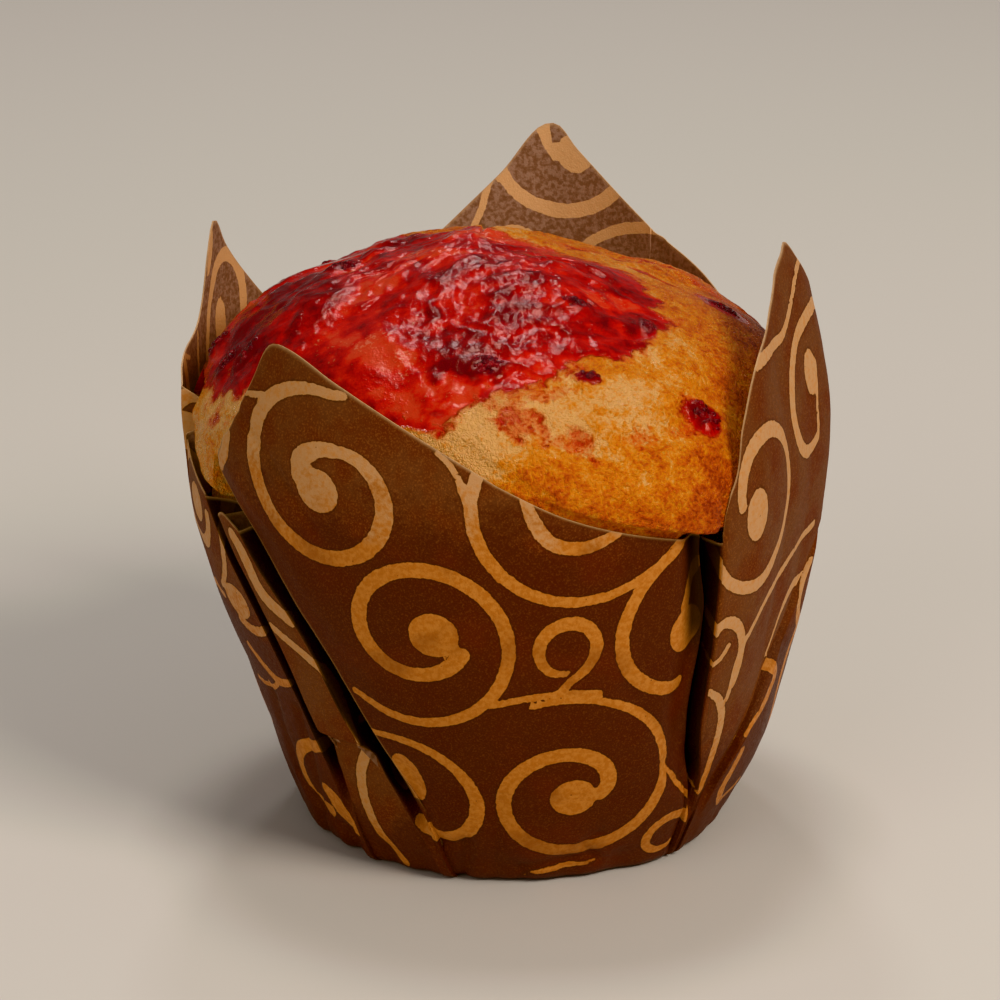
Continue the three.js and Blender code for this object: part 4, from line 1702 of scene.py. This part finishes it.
    def _base(
        self, mesh: MeshParts, rim: np.ndarray, loop: int, inside: bool
    ) -> list[dict[str, np.ndarray]]:
        """Closes one side of the sheet with its flat base.

        Args:
            mesh: The mesh that takes the base.
            rim: The loop of points round the base.
            loop: Number of the loop's first point.
            inside: Whether it is the inner side.

        Returns:
            The values of the new points.
        """
        count = len(rim)
        values = []
        for scale in self.base_rings[::-1]:
            ring = rim * (scale, scale, 1)
            new = mesh.add(ring)
            mesh.band(*((loop, new) if inside else (new, loop)), count)
            loop = new
            values.append(self._base_values(ring, inside))
        tip = np.array([[0, 0, rim[0, 2]]])
        mesh.fan(mesh.add(tip), loop, count, outward=not inside)
        values.append(self._base_values(tip, inside))
        return values

    def _base_values(self, points: np.ndarray, inside: bool) -> dict[str, np.ndarray]:
        """Values of points on the base."""
        return {
            "ink": self.base_print.ink(points[:, :2]),
            "grease_and_shade": np.ones(len(points)),
            "inside": np.full(len(points), float(inside)),
            "edge": np.zeros(len(points)),
        }


# ---- The cake ----


@dataclass(frozen=True)
class Patch:
    """An oval area of the cake's top, seen from above."""

    centre: Place
    radii: Place
    tilt: float = 0.0
    strength: float = 1.0
    EDGE = (0.6, 1.15)

    def cover(self, x: np.ndarray, y: np.ndarray) -> np.ndarray:
        """How strongly the patch covers places: its strength in the middle, 0 from its edge on."""
        right, up = turned(x - self.centre[0], y - self.centre[1], self.tilt)
        away = np.hypot(right / self.radii[0], up / self.radii[1])
        return self.strength * (1 - smoothstep(away, *self.EDGE))


@dataclass(frozen=True)
class Berry:
    """A piece of raspberry: its middle seen from above, its half lengths and its turn.

    halo is how far its juice has spread round it.
    """

    centre: Place
    radii: Place
    tilt: float = 0.0
    halo: float = 0.9

    def spread(self, more: float, strength: float = 1.0) -> Patch:
        """The berry's oval, widened all round."""
        return Patch(self.centre, (self.radii[0] + more, self.radii[1] + more), self.tilt, strength)


BERRIES = (
    Berry((20.1, -23.9), (1.5, 1.3), 30, 0.5),
    Berry((23.0, -0.2), (2.0, 1.7), -20, 1.3),
    Berry((6.3, -14.8), (1.5, 0.8), -10, 0.4),
    Berry((7.4, -26.0), (1.2, 0.5), 10, 0.25),
    Berry((-3.0, -25.2), (1.7, 1.3), 15, 0.7),
    Berry((14.2, -14.9), (0.7, 1.4), 10, 0.6),
    Berry((-31.4, -7.7), (1.3, 1.1), 0, 0.8),
    Berry((-33.2, -1.0), (1.1, 1.1), 0, 0.6),
    Berry((-29.0, -10.4), (1.3, 0.9), 30, 0.8),
    Berry((-18.9, 0.9), (1.7, 1.3), 10, 0.8),
    Berry((3.0, 21.0), (1.8, 1.3), 20, 1.4),
    Berry((-13.0, 17.0), (1.6, 1.1), -30, 1.2),
    Berry((21.0, 19.0), (1.5, 1.0), 50, 1.0),
    Berry((-22.0, 14.0), (1.3, 0.9), 10, 1.2),
)


@dataclass(frozen=True)
class Lumps:
    """Lumps of one kind: how high and how wide they are, and how many finer layers they carry."""

    height: float
    size: float
    layers: int = 2

    def at(self, noise: Unevenness, points: np.ndarray) -> np.ndarray:
        """Lumps at points, up and down by up to their height."""
        return self.height * noise.at(points, self.size, self.layers)

    def ridges(self, noise: Unevenness, points: np.ndarray) -> np.ndarray:
        """Ridges at points, which are sharp where the lumps would change from up to down."""
        return self.height * (0.5 - np.abs(noise.at(points, self.size, self.layers)))


@dataclass
class Cake:
    """The baked cake: a side that fills the case and a risen top that swells over its edge."""

    case: TulipCase
    columns: int = 560
    side_rows: int = 8
    dome_rows: int = 166
    clearance: float = 0.06
    deep_clearance: float = 1.6
    cad_paper: float = 0.4
    cad_clearance: float = 0.4
    foot_rounding: float = 1.6
    dome_start: float = 41.0
    dome_centre: Place = (-4, 1)
    dome_top: float = 65.5
    shoulder_turn: float = 0.196
    groove_margin: float = 5.0
    groove_ramp: float = 3.0
    rim_gap: float = 0.25
    rim_reach: float = 1.6
    rim_sight: float = 5.0
    rim_steps: int = 25
    lowest_rim: float = 40.0
    edge_overlap: float = 1.5
    overhang: float = 4.0
    overhang_rise: float = 1.5
    shoulders: Rows = (
        (0, 34.4, 41.5), (45, 35.5, 41.5), (90, 36, 42), (135, 36.2, 43), (180, 36.5, 45),
        (225, 36, 45), (270, 37, 43), (300, 37.5, 42.5), (330, 35, 43), (360, 34.4, 41.5),
    )
    lumps: Rows = (
        (0.5, 0.21, 0.05, 1.3), (0.35, 0.06, 0.18, 2),
        (0.25, 0.43, -0.27, 2.1), (0.2, -0.2, 0.4, 0.6),
    )
    smear: Rows = (
        (-37, 1), (-35, -2.5), (-32.4, -9.4), (-30.2, -14), (-24, -21.5), (-15, -27.5), (-9, -30.8),
        (-6, -30.2), (-3.8, -28.8), (0.3, -27.1), (5.6, -25.2), (8.7, -23.8), (11.4, -21.7),
        (13.1, -19.3), (15.3, -16.2), (16.2, -12), (15.6, -8), (13.8, -4.6), (9, -2), (3, 1.2),
        (-5, 4), (-11, 10), (-20, 14), (-32, 12),
    )
    bare: tuple[Patch, ...] = (
        Patch((-9.4, -2.4), (5.5, 2.0), -15, 0.62),
        Patch((-14.2, -6.9), (4.5, 2.4), 40, 0.55),
        Patch((-18.5, -16.6), (2.2, 2.0), 0, 0.45),
        Patch((-14.4, -19.3), (3.2, 2.0), 0, 0.45),
        Patch((-11.8, -22.8), (4.0, 2.4), -10, 0.5),
        Patch((-9.0, -26.5), (3.6, 1.8), -10, 0.45),
        Patch((-5.9, -29.2), (3.0, 1.5), 10, 0.5),
        Patch((-6.5, -16.6), (2.6, 1.6), 10, 0.35),
        Patch((10.8, -11), (4.0, 1.5), 10, 0.4),
        Patch((4, -7.5), (5, 1.4), 0, 0.35),
        Patch((-2, 1.5), (7, 1.6), -5, 0.5),
    )
    stains: tuple[Patch, ...] = (
        Patch((0.4, -30.9), (3.2, 2.0), -25, 0.58),
        Patch((6.2, -32.2), (3.6, 1.1), -2, 0.46),
        Patch((-32.7, -13.6), (1.2, 1.4), 0, 0.5),
        Patch((13, -30.0), (4.0, 0.7), 14, 0.34),
        Patch((17.6, -26.2), (2.6, 1.2), 40, 0.3),
        Patch((19.6, -23.6), (2.2, 1.8), 20, 0.5),
        Patch((15.8, 1.6), (3.4, 1.0), -10, 0.7),
        Patch((18, 8), (8, 2.2), -5, 0.42),
        Patch((9, 6), (7, 2.0), 0, 0.45),
        Patch((2.0, -27.9), (5.0, 1.3), 8, 0.36),
    )
    froth: tuple[Patch, ...] = (
        Patch((-12, -18), (14, 9), -25, 0.36),
        Patch((7, -9), (8, 4), 15, 0.36),
        Patch((-20, -1), (4, 3), 10, 0.5),
        Patch((-3, 0), (12, 4), 5, 0.3),
    )
    dark: tuple[Patch, ...] = (
        Patch((-30, -7), (9, 10), 0, 0.26),
        Patch((-3.5, -25.0), (4.0, 3.0), 0, 0.3),
        Patch((13.6, -16.5), (3, 5), 20, 0.2),
        Patch((-18, 3), (9, 4), 20, 0.14),
    )
    pale: tuple[Patch, ...] = (
        Patch((-31.5, -16), (8, 9), 30, 0.42),
        Patch((-4.5, -31.8), (9, 4.2), 8, 0.46),
        Patch((9, -28.5), (10, 4), 10, 0.26),
    )
    wander: Lumps = Lumps(2.4, 3.6, 4)
    wander_shift: float = 60.0
    deep_from: Span = (1.5, 8)
    relief_from: Span = (0.3, 2.0)
    jam_edge: Span = (-1.6, 1.4)
    jam_from: Span = (46.5, 50.5)
    browned_low: Span = (42, 55)
    # the crust is darker and redder towards +X
    darker_redder_right: Span = (8, 32)
    browned_back: Span = (-4, 22)
    # shares: base, low, right (darker and redder towards +X) and back
    browning: tuple[float, float, float, float] = (0.36, 0.3, 0.55, 0.2)
    swirl_centre: Place = (6.0, -14.0)
    swirl_squash: float = 1.6
    swirl_width: float = 1.25
    broad_lump: Lumps = Lumps(0.45, 8)
    lump: Lumps = Lumps(0.34, 3)
    crust_ridge: Lumps = Lumps(0.22, 1.5)
    ridge_in_jam: float = 0.4
    swirl_ridge: float = 0.3
    swirl_on_crust: float = 0.15
    jam_lump: Lumps = Lumps(0.22, 1.9)
    ragged: Lumps = Lumps(1.6, 5, 3)
    ragged_swirl: float = 3.0
    usual_jam: float = 0.46
    thick_swirl: float = 0.8
    thick_lump: Lumps = Lumps(0.4, 4.2, 3)
    small_thick_lump: Lumps = Lumps(0.25, 1.5)
    thin_edge: Span = (-1, 2.5)
    thin_share: float = 0.45
    thickest: float = 1.3
    stain_share: float = 0.8
    stain_lump: Lumps = Lumps(0.5, 1.6)
    halo_wander: float = 0.4
    berry_juice: Span = (0.2, 0.6)
    browned_lump: Lumps = Lumps(0.16, 6, 3)
    berry_rise: float = 0.35
    crevices: tuple[tuple[Rows, float, float], ...] = (
        (
            ((2.5, -31.3), (5.5, -32.4), (8.6, -32.3), (11.7, -31.2), (14.9, -29.2), (18.1, -26)),
            0.45, 1.3,
        ),
    )
    seed: int = 23

    def build(self) -> bpy.types.Object:
        """Makes the cake.

        Returns:
            The cake, dressed in glazed crust.
        """
        azimuth = np.arange(self.columns) * 360 / self.columns
        steps = np.linspace(-self.rim_sight, self.rim_sight, self.rim_steps)
        self.rims = np.array([self._rim(np.mod(azimuth + step, 360)) for step in steps])
        self.close = np.abs(steps) <= self.rim_reach
        grid = np.concatenate([self._side(azimuth), self._dome(azimuth)])
        noise = Unevenness(self.seed)
        plan = self._wander(grid, noise)
        streak = self._swirl(*plan, noise)
        jam, thick = self._jam(grid, plan, streak, noise)
        bake = self._bake(grid, plan)
        rough = noise.at(grid, 3.2, 2)
        froth = self._cover(self.froth, plan) * (0.55 + 0.9 * rough) - 0.5 * (thick - 0.4)
        grid = self._relief(grid, jam, streak)
        mesh = MeshParts()
        loops = [mesh.add(row) for row in grid]
        for lower, upper in zip(loops, loops[1:]):
            mesh.band(lower, upper, self.columns)
        foot = mesh.add(np.array([[0, 0, grid[0, 0, 2]]]))
        mesh.fan(foot, loops[0], self.columns, outward=True)
        crown = mesh.add(grid[-1].mean(axis=0, keepdims=True))
        mesh.fan(crown, loops[-1], self.columns, outward=False)
        fields = {"jam": jam, "bake": bake, "thick": thick, "froth": np.clip(froth, 0, 1)}
        values = {
            key: np.concatenate([field.ravel(), (field[0, 0], field[-1, 0])])
            for key, field in fields.items()
        }
        piece = mesh.build("raspberry_cake", values)
        piece.data.materials.append(GlazedCrust().build())
        return piece

    def _groove(self, azimuth: np.ndarray, z: np.ndarray) -> np.ndarray:
        """How far the pleats press the cake in at places on its side."""
        depth = np.zeros(np.broadcast(azimuth, z).shape)
        for index, pleat in enumerate(PLEATS):
            following = PANELS[(index + 1) % len(PANELS)]
            edges = (PANELS[index].edge[-1][1], pleat.rim, following.edge[0][1])
            lines = [pleat.line(line, z) for line in (pleat.first, pleat.bottom, pleat.last)]
            low = np.min(lines, axis=0) - self.groove_margin
            high = np.max(lines, axis=0) + self.groove_margin
            away = np.abs(np.mod(azimuth - (low + high) / 2 + 180, 360) - 180) - (high - low) / 2
            share = 1 - smoothstep(away, 0, self.groove_ramp)
            open_top = max(edges) + self.rim_gap
            above = smoothstep(z, open_top, open_top + self.overhang_rise)
            depth = np.maximum(depth, pleat.depth_at(z) * share * (1 - above))
        return depth

    def _rim(self, azimuth: np.ndarray) -> np.ndarray:
        """Height of the sheet's edge round the case, as the highest panel there."""
        height = np.full(len(azimuth), self.lowest_rim)
        for panel in PANELS:
            knots = np.array(panel.edge)
            start, end = knots[0, 0] - self.edge_overlap, knots[-1, 0] + self.edge_overlap
            place = np.where(azimuth < start, azimuth + 360, azimuth)
            near = (place >= start) & (place <= end)
            height = np.where(near, np.maximum(height, along(panel.edge, place)), height)
        return height

    def _limit(self, azimuth: np.ndarray, z: np.ndarray) -> np.ndarray:
        """Largest radius that the cake may have: inside the paper, and more above its edge.

        Args:
            azimuth: Azimuths of the columns.
            z: Heights, in rows of one for each column.

        Returns:
            The radii.
        """
        wall = self.case.wall.radius(azimuth, z)
        above = z - self.rims.reshape(len(self.rims), *[1] * (z.ndim - 1), -1)
        freed = smoothstep(above, self.rim_gap, self.rim_gap + self.overhang_rise)
        free = freed[self.close].min(axis=0) * freed.mean(axis=0)
        gap = self.clearance + self.deep_clearance * smoothstep(-above.max(axis=0), *self.deep_from)
        inside = wall - self.case.thickness - self.case.dent(polar(azimuth, wall, z)) - gap
        return inside - self._groove(azimuth, z) * (1 - free) + self.overhang * free

    def _side(self, azimuth: np.ndarray) -> np.ndarray:
        """Rows of the side, from the foot to where the top starts."""
        bottom = self.cad_paper + self.cad_clearance
        low = bottom + self.foot_rounding
        heights = np.linspace(low, self.dome_start, self.side_rows, endpoint=False)
        heights = np.concatenate([[bottom], heights])[:, None]
        z = np.broadcast_to(heights, (len(heights), self.columns))
        radius = self._limit(azimuth, z)
        radius[0] -= self.foot_rounding
        return polar(azimuth, radius, z)

    def _dome(self, azimuth: np.ndarray) -> np.ndarray:
        """Rows of the risen top, from the side to the crown."""
        reach = along(self.shoulders, azimuth)
        shoulder = along(self.shoulders, azimuth, 2)
        turn = (np.pi / 2 * np.arange(self.dome_rows) / self.dome_rows)[:, None]
        out, up = np.cos(turn), np.sin(turn)
        share = np.minimum(turn / self.shoulder_turn, 1)
        start = self.dome_start + (shoulder - self.dome_start) * share
        flat = polar(azimuth, reach * out, 0.0)
        lump = sum(
            height * np.sin(across * flat[..., 0] + back * flat[..., 1] + phase)
            for height, across, back, phase in self.lumps
        )
        z = start + (self.dome_top - start) * up + lump * up
        placed = polar(azimuth, np.minimum(reach * out, self._limit(azimuth, z)), z)
        placed[..., 0] += self.dome_centre[0] * (1 - out)
        placed[..., 1] += self.dome_centre[1] * (1 - out)
        return placed

    def _swirl(self, x: np.ndarray, y: np.ndarray, noise: Unevenness) -> np.ndarray:
        """Ridges left by the smear's swirling, from 0 to 1."""
        across = (x - self.swirl_centre[0]) / self.swirl_squash
        back = y - self.swirl_centre[1]
        away = np.hypot(across, back)
        turn = np.arctan2(back, across)
        spread = noise.at(np.stack([x, y, np.zeros_like(x)], -1), 9, 2) * 2.2
        place = np.stack(
            [(away + spread) / self.swirl_width, 1.6 * np.cos(turn), 1.6 * np.sin(turn)], -1
        )
        return noise.at(place, 1, 2) * 0.5 + 0.5

    def _wander(self, grid: np.ndarray, noise: Unevenness) -> Pair:
        """Places on the cake seen from above, pushed about so that outlines come out ragged."""
        return tuple(
            grid[..., axis] + self.wander.at(noise, grid + self.wander_shift * (axis + 1))
            for axis in range(2)
        )

    @staticmethod
    def _cover(patches: Sequence[Patch], plan: Pair) -> np.ndarray:
        """How strongly patches cover places together."""
        return sum(patch.cover(*plan) for patch in patches)

    def _jam(self, grid: np.ndarray, plan: Pair, streak: np.ndarray, noise: Unevenness) -> Pair:
        """How much jam lies at places on the cake, and how thick it is.

        Args:
            grid: The cake's points.
            plan: The same places seen from above, pushed about.
            streak: The smear's ridges.
            noise: The noise to use.

        Returns:
            Whether jam lies there, from 0 to 1, and its thickness, where 1 is dark.
        """
        corners = np.array(self.smear)
        following = np.roll(corners, -1, axis=0)
        places = np.stack([across.ravel() for across in plan], -1)
        way = following - corners
        gap = line_gaps(places, corners, way)[0].min(axis=1)
        crosses = (corners[:, 1] > places[:, None, 1]) != (following[:, 1] > places[:, None, 1])
        slope = way[:, 0] / np.where(way[:, 1] == 0, TINY, way[:, 1])
        meets = places[:, None, 0] < corners[:, 0] + (places[:, None, 1] - corners[:, 1]) * slope
        within = (crosses & meets).sum(axis=1) % 2 == 1
        depth = np.where(within, gap, -gap).reshape(plan[0].shape)
        ragged = depth + self.ragged.at(noise, grid) + (streak - 0.5) * self.ragged_swirl
        jam = smoothstep(ragged, *self.jam_edge)
        thick = self.usual_jam + self.thick_lump.at(noise, grid) + self.thick_swirl * (streak - 0.5)
        thick = thick + self.small_thick_lump.at(noise, grid)
        thick = thick - self._cover(self.bare, plan) + self._cover(self.dark, plan)
        edge = smoothstep(ragged, *self.thin_edge)
        thick = thick * (self.thin_share + (1 - self.thin_share) * edge)
        for patch in self.stains:
            uneven = self.stain_share + self.stain_lump.at(noise, grid)
            jam = np.maximum(jam, patch.cover(*plan) * uneven)
        near = [
            grid[..., axis] * (1 - self.halo_wander) + plan[axis] * self.halo_wander
            for axis in range(2)
        ]
        for berry in BERRIES:
            jam = np.maximum(jam, berry.spread(berry.halo).cover(*near))
            thick = thick + berry.spread(*self.berry_juice).cover(*near)
        jam = jam * smoothstep(grid[..., 2], *self.jam_from)
        return np.clip(jam, 0, 1), np.clip(thick, 0, self.thickest)

    def _bake(self, grid: np.ndarray, plan: Pair) -> np.ndarray:
        """How strongly places on the cake are browned, and darker and redder towards +X, from 0 to
        1.
        """
        x, y, z = grid[..., 0], grid[..., 1], grid[..., 2]
        noise = Unevenness(self.seed + 1)
        low = 1 - smoothstep(z, *self.browned_low)
        # darker and redder towards +X
        right = smoothstep(x, *self.darker_redder_right) ** 2
        back = smoothstep(y, *self.browned_back)
        shares = self.browning
        bake = shares[0] + low * shares[1] + right * shares[2] + back * shares[3]
        bake = bake - self._cover(self.pale, plan)
        return np.clip(bake + self.browned_lump.at(noise, grid), -0.1, 1)

    def _relief(self, grid: np.ndarray, jam: np.ndarray, streak: np.ndarray) -> np.ndarray:
        """Adds the crust's lumps, ridges, grain and crevices to its surface."""
        noise = Unevenness(self.seed + 2)
        around = np.roll(grid, -1, axis=1) - np.roll(grid, 1, axis=1)
        normal = unit(np.cross(around, np.gradient(grid, axis=0)))
        height = self.broad_lump.at(noise, grid) + self.lump.at(noise, grid)
        ridged = 1 - (1 - self.ridge_in_jam) * jam
        height += self.crust_ridge.ridges(noise, grid) * ridged
        swirled = self.swirl_on_crust + (1 - self.swirl_on_crust) * jam
        height += (streak - 0.5) * 2 * self.swirl_ridge * swirled
        height += self.jam_lump.ridges(noise, grid) * jam
        x, y = grid[..., 0], grid[..., 1]
        height += self.berry_rise * self._cover([berry.spread(0.5) for berry in BERRIES], (x, y))
        for line, depth, width in self.crevices:
            knots = np.array(line)
            gap, _ = line_gaps(np.stack([x, y], -1), knots[:-1], np.diff(knots, axis=0))
            height -= depth * np.exp(-((gap.min(axis=-1) / width) ** 2))
        above = grid[..., 2] - self.rims[self.close].max(axis=0)
        return grid + normal * (height * smoothstep(above, *self.relief_from))[..., None]


@dataclass
class RaspberryPieces:
    """Pieces of raspberry that show in the top: clusters of drupelets, sunk into the cake."""

    berries: tuple[Berry, ...] = BERRIES
    drupelet: float = 0.5
    spacing: float = 0.66
    proud: float = 0.32
    golden_angle: float = 137.5
    turn_spread: Span = (-0.3, 0.3)
    size_spread: Span = (0.75, 1.15)
    proud_spread: Span = (0.7, 1.2)
    middle_rise: float = 1.1
    ray_start: float = 100.0
    seed: int = 5

    def build(self, cake: bpy.types.Object) -> bpy.types.Object:
        """Makes the pieces on the cake's surface.

        Args:
            cake: The cake that they lie in.

        Returns:
            The pieces, as one mesh.
        """
        draw = np.random.default_rng(self.seed)
        tree = BVHTree.FromObject(cake, bpy.context.evaluated_depsgraph_get())
        ball = self._ball()
        mesh = MeshParts()
        for berry in self.berries:
            count = int(math.pi * berry.radii[0] * berry.radii[1] / self.spacing**2) + 2
            for number in range(count):
                share = math.sqrt((number + 0.5) / count)
                turn = math.radians(number * self.golden_angle) + draw.uniform(*self.turn_spread)
                right = berry.radii[0] * share * math.cos(turn)
                up = berry.radii[1] * share * math.sin(turn)
                right, up = turned(right, up, -berry.tilt)
                start = Vector((berry.centre[0] + right, berry.centre[1] + up, self.ray_start)) * MM
                hit, normal, _, _ = tree.ray_cast(start, Vector((0, 0, -1)))
                radius = self.drupelet * draw.uniform(*self.size_spread)
                proud = self.proud * (self.middle_rise - share**2)
                sink = radius - proud * draw.uniform(*self.proud_spread)
                centre = np.array(hit) / MM - np.array(normal) * sink
                first = mesh.add(centre + ball[0] * radius)
                mesh.triangles.append(ball[1] + first)
        piece = mesh.build("raspberry_pieces", {})
        piece.data.materials.append(CookedRaspberry().build())
        return piece

    @staticmethod
    def _ball() -> Pair:
        """Points and triangles of a small ball of radius 1."""
        rings, sides = 7, 12
        up = np.pi * np.arange(1, rings) / rings
        turn = 2 * np.pi * np.arange(sides) / sides
        points = [[0, 0, -1]]
        for latitude in up:
            wide = math.sin(latitude)
            points += [[wide * math.cos(t), wide * math.sin(t), -math.cos(latitude)] for t in turn]
        points.append([0, 0, 1])
        triangles = []
        for side in range(sides):
            following = (side + 1) % sides
            triangles.append([0, 1 + following, 1 + side])
            for ring in range(rings - 2):
                low, high = 1 + ring * sides, 1 + (ring + 1) * sides
                triangles.append([low + side, low + following, high + following])
                triangles.append([low + side, high + following, high + side])
            last = 1 + (rings - 2) * sides
            triangles.append([len(points) - 1, last + side, last + following])
        return np.array(points), np.array(triangles)


# ---- The studio ----


@dataclass(frozen=True)
class Lamp:
    """A square soft light that looks at the cake."""

    name: str
    place: tuple[float, float, float]
    size: float
    power: float
    colour: Colour = (1, 1, 1)


@dataclass
class Studio:
    """Floor, lights, surrounding light and camera, in metres."""

    floor_size: float = 6.0
    aim: tuple[float, float, float] = (0, 0, 0.04)
    lamps: tuple[Lamp, ...] = (
        Lamp("key_light", (0.60, -0.54, 0.70), 0.40, 7.8, (1, 0.93, 0.84)),
        Lamp("fill_light", (-0.7, -0.85, 0.5), 0.8, 3.2, (1, 0.95, 0.9)),
        Lamp("top_light", (-0.02, 0.22, 0.95), 0.2, 2.3, (1, 0.97, 0.93)),
        Lamp("glint_light", (-0.03, 0.60, 0.66), 0.09, 0.6, (1, 1, 1)),
    )
    world_colour: Colour = (1.0, 0.97, 0.94)
    world_strength: float = 0.25
    camera_place: tuple[float, float, float] = (-0.00174, -0.39416, 0.17187)
    camera_tilt: float = 71.0
    lens: float = 133.2

    def build(self) -> bpy.types.Object:
        """Sets up the studio and returns its floor."""
        mesh = bpy.data.meshes.new("floor")
        half = self.floor_size / 2
        corners = [(-half, -half, 0), (half, -half, 0), (half, half, 0), (-half, half, 0)]
        mesh.from_pydata(corners, [], [(0, 1, 2, 3)])
        mesh.materials.append(PaleFloor().build())
        floor = bpy.data.objects.new("floor", mesh)
        scene = bpy.context.scene
        scene.collection.objects.link(floor)
        for lamp in self.lamps:
            self._hang(lamp)
        world = bpy.data.worlds.new("studio")
        world.use_nodes = True
        background = world.node_tree.nodes["Background"]
        background.inputs["Color"].default_value = (*self.world_colour, 1)
        background.inputs["Strength"].default_value = self.world_strength
        scene.world = world
        camera = bpy.data.objects.new("camera", bpy.data.cameras.new("camera"))
        camera.data.lens = self.lens
        camera.location = self.camera_place
        camera.rotation_euler = (math.radians(self.camera_tilt), 0, 0)
        scene.collection.objects.link(camera)
        scene.camera = camera
        scene.view_settings.view_transform = "Khronos PBR Neutral"
        return floor

    def _hang(self, lamp: Lamp) -> None:
        """Hangs one lamp so that it looks at the cake."""
        light = bpy.data.lights.new(lamp.name, "AREA")
        light.size = lamp.size
        light.energy = lamp.power
        light.color = lamp.colour
        hung = bpy.data.objects.new(lamp.name, light)
        hung.location = lamp.place
        way = Vector(self.aim) - Vector(lamp.place)
        hung.rotation_euler = way.to_track_quat("-Z", "Y").to_euler()
        bpy.context.scene.collection.objects.link(hung)


def report(piece: bpy.types.Object) -> None:
    """Says what was built."""
    mesh = piece.data
    LOG.info("%s: %d points, %d faces", piece.name, len(mesh.vertices), len(mesh.polygons))


def main() -> None:
    """Builds the muffin piece by piece and sets it in the studio."""
    logging.basicConfig(level=logging.INFO, format="%(message)s")
    Studio().build()
    case = TulipCase()
    paper = case.build()
    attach(paper, BODY)
    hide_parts("paper_case")
    report(paper)
    cake = Cake(case).build()
    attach(cake, BODY)
    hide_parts("muffin")
    report(cake)
    berries = RaspberryPieces().build(cake)
    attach(berries, BODY)
    report(berries)


if __name__ == "__main__":
    main()
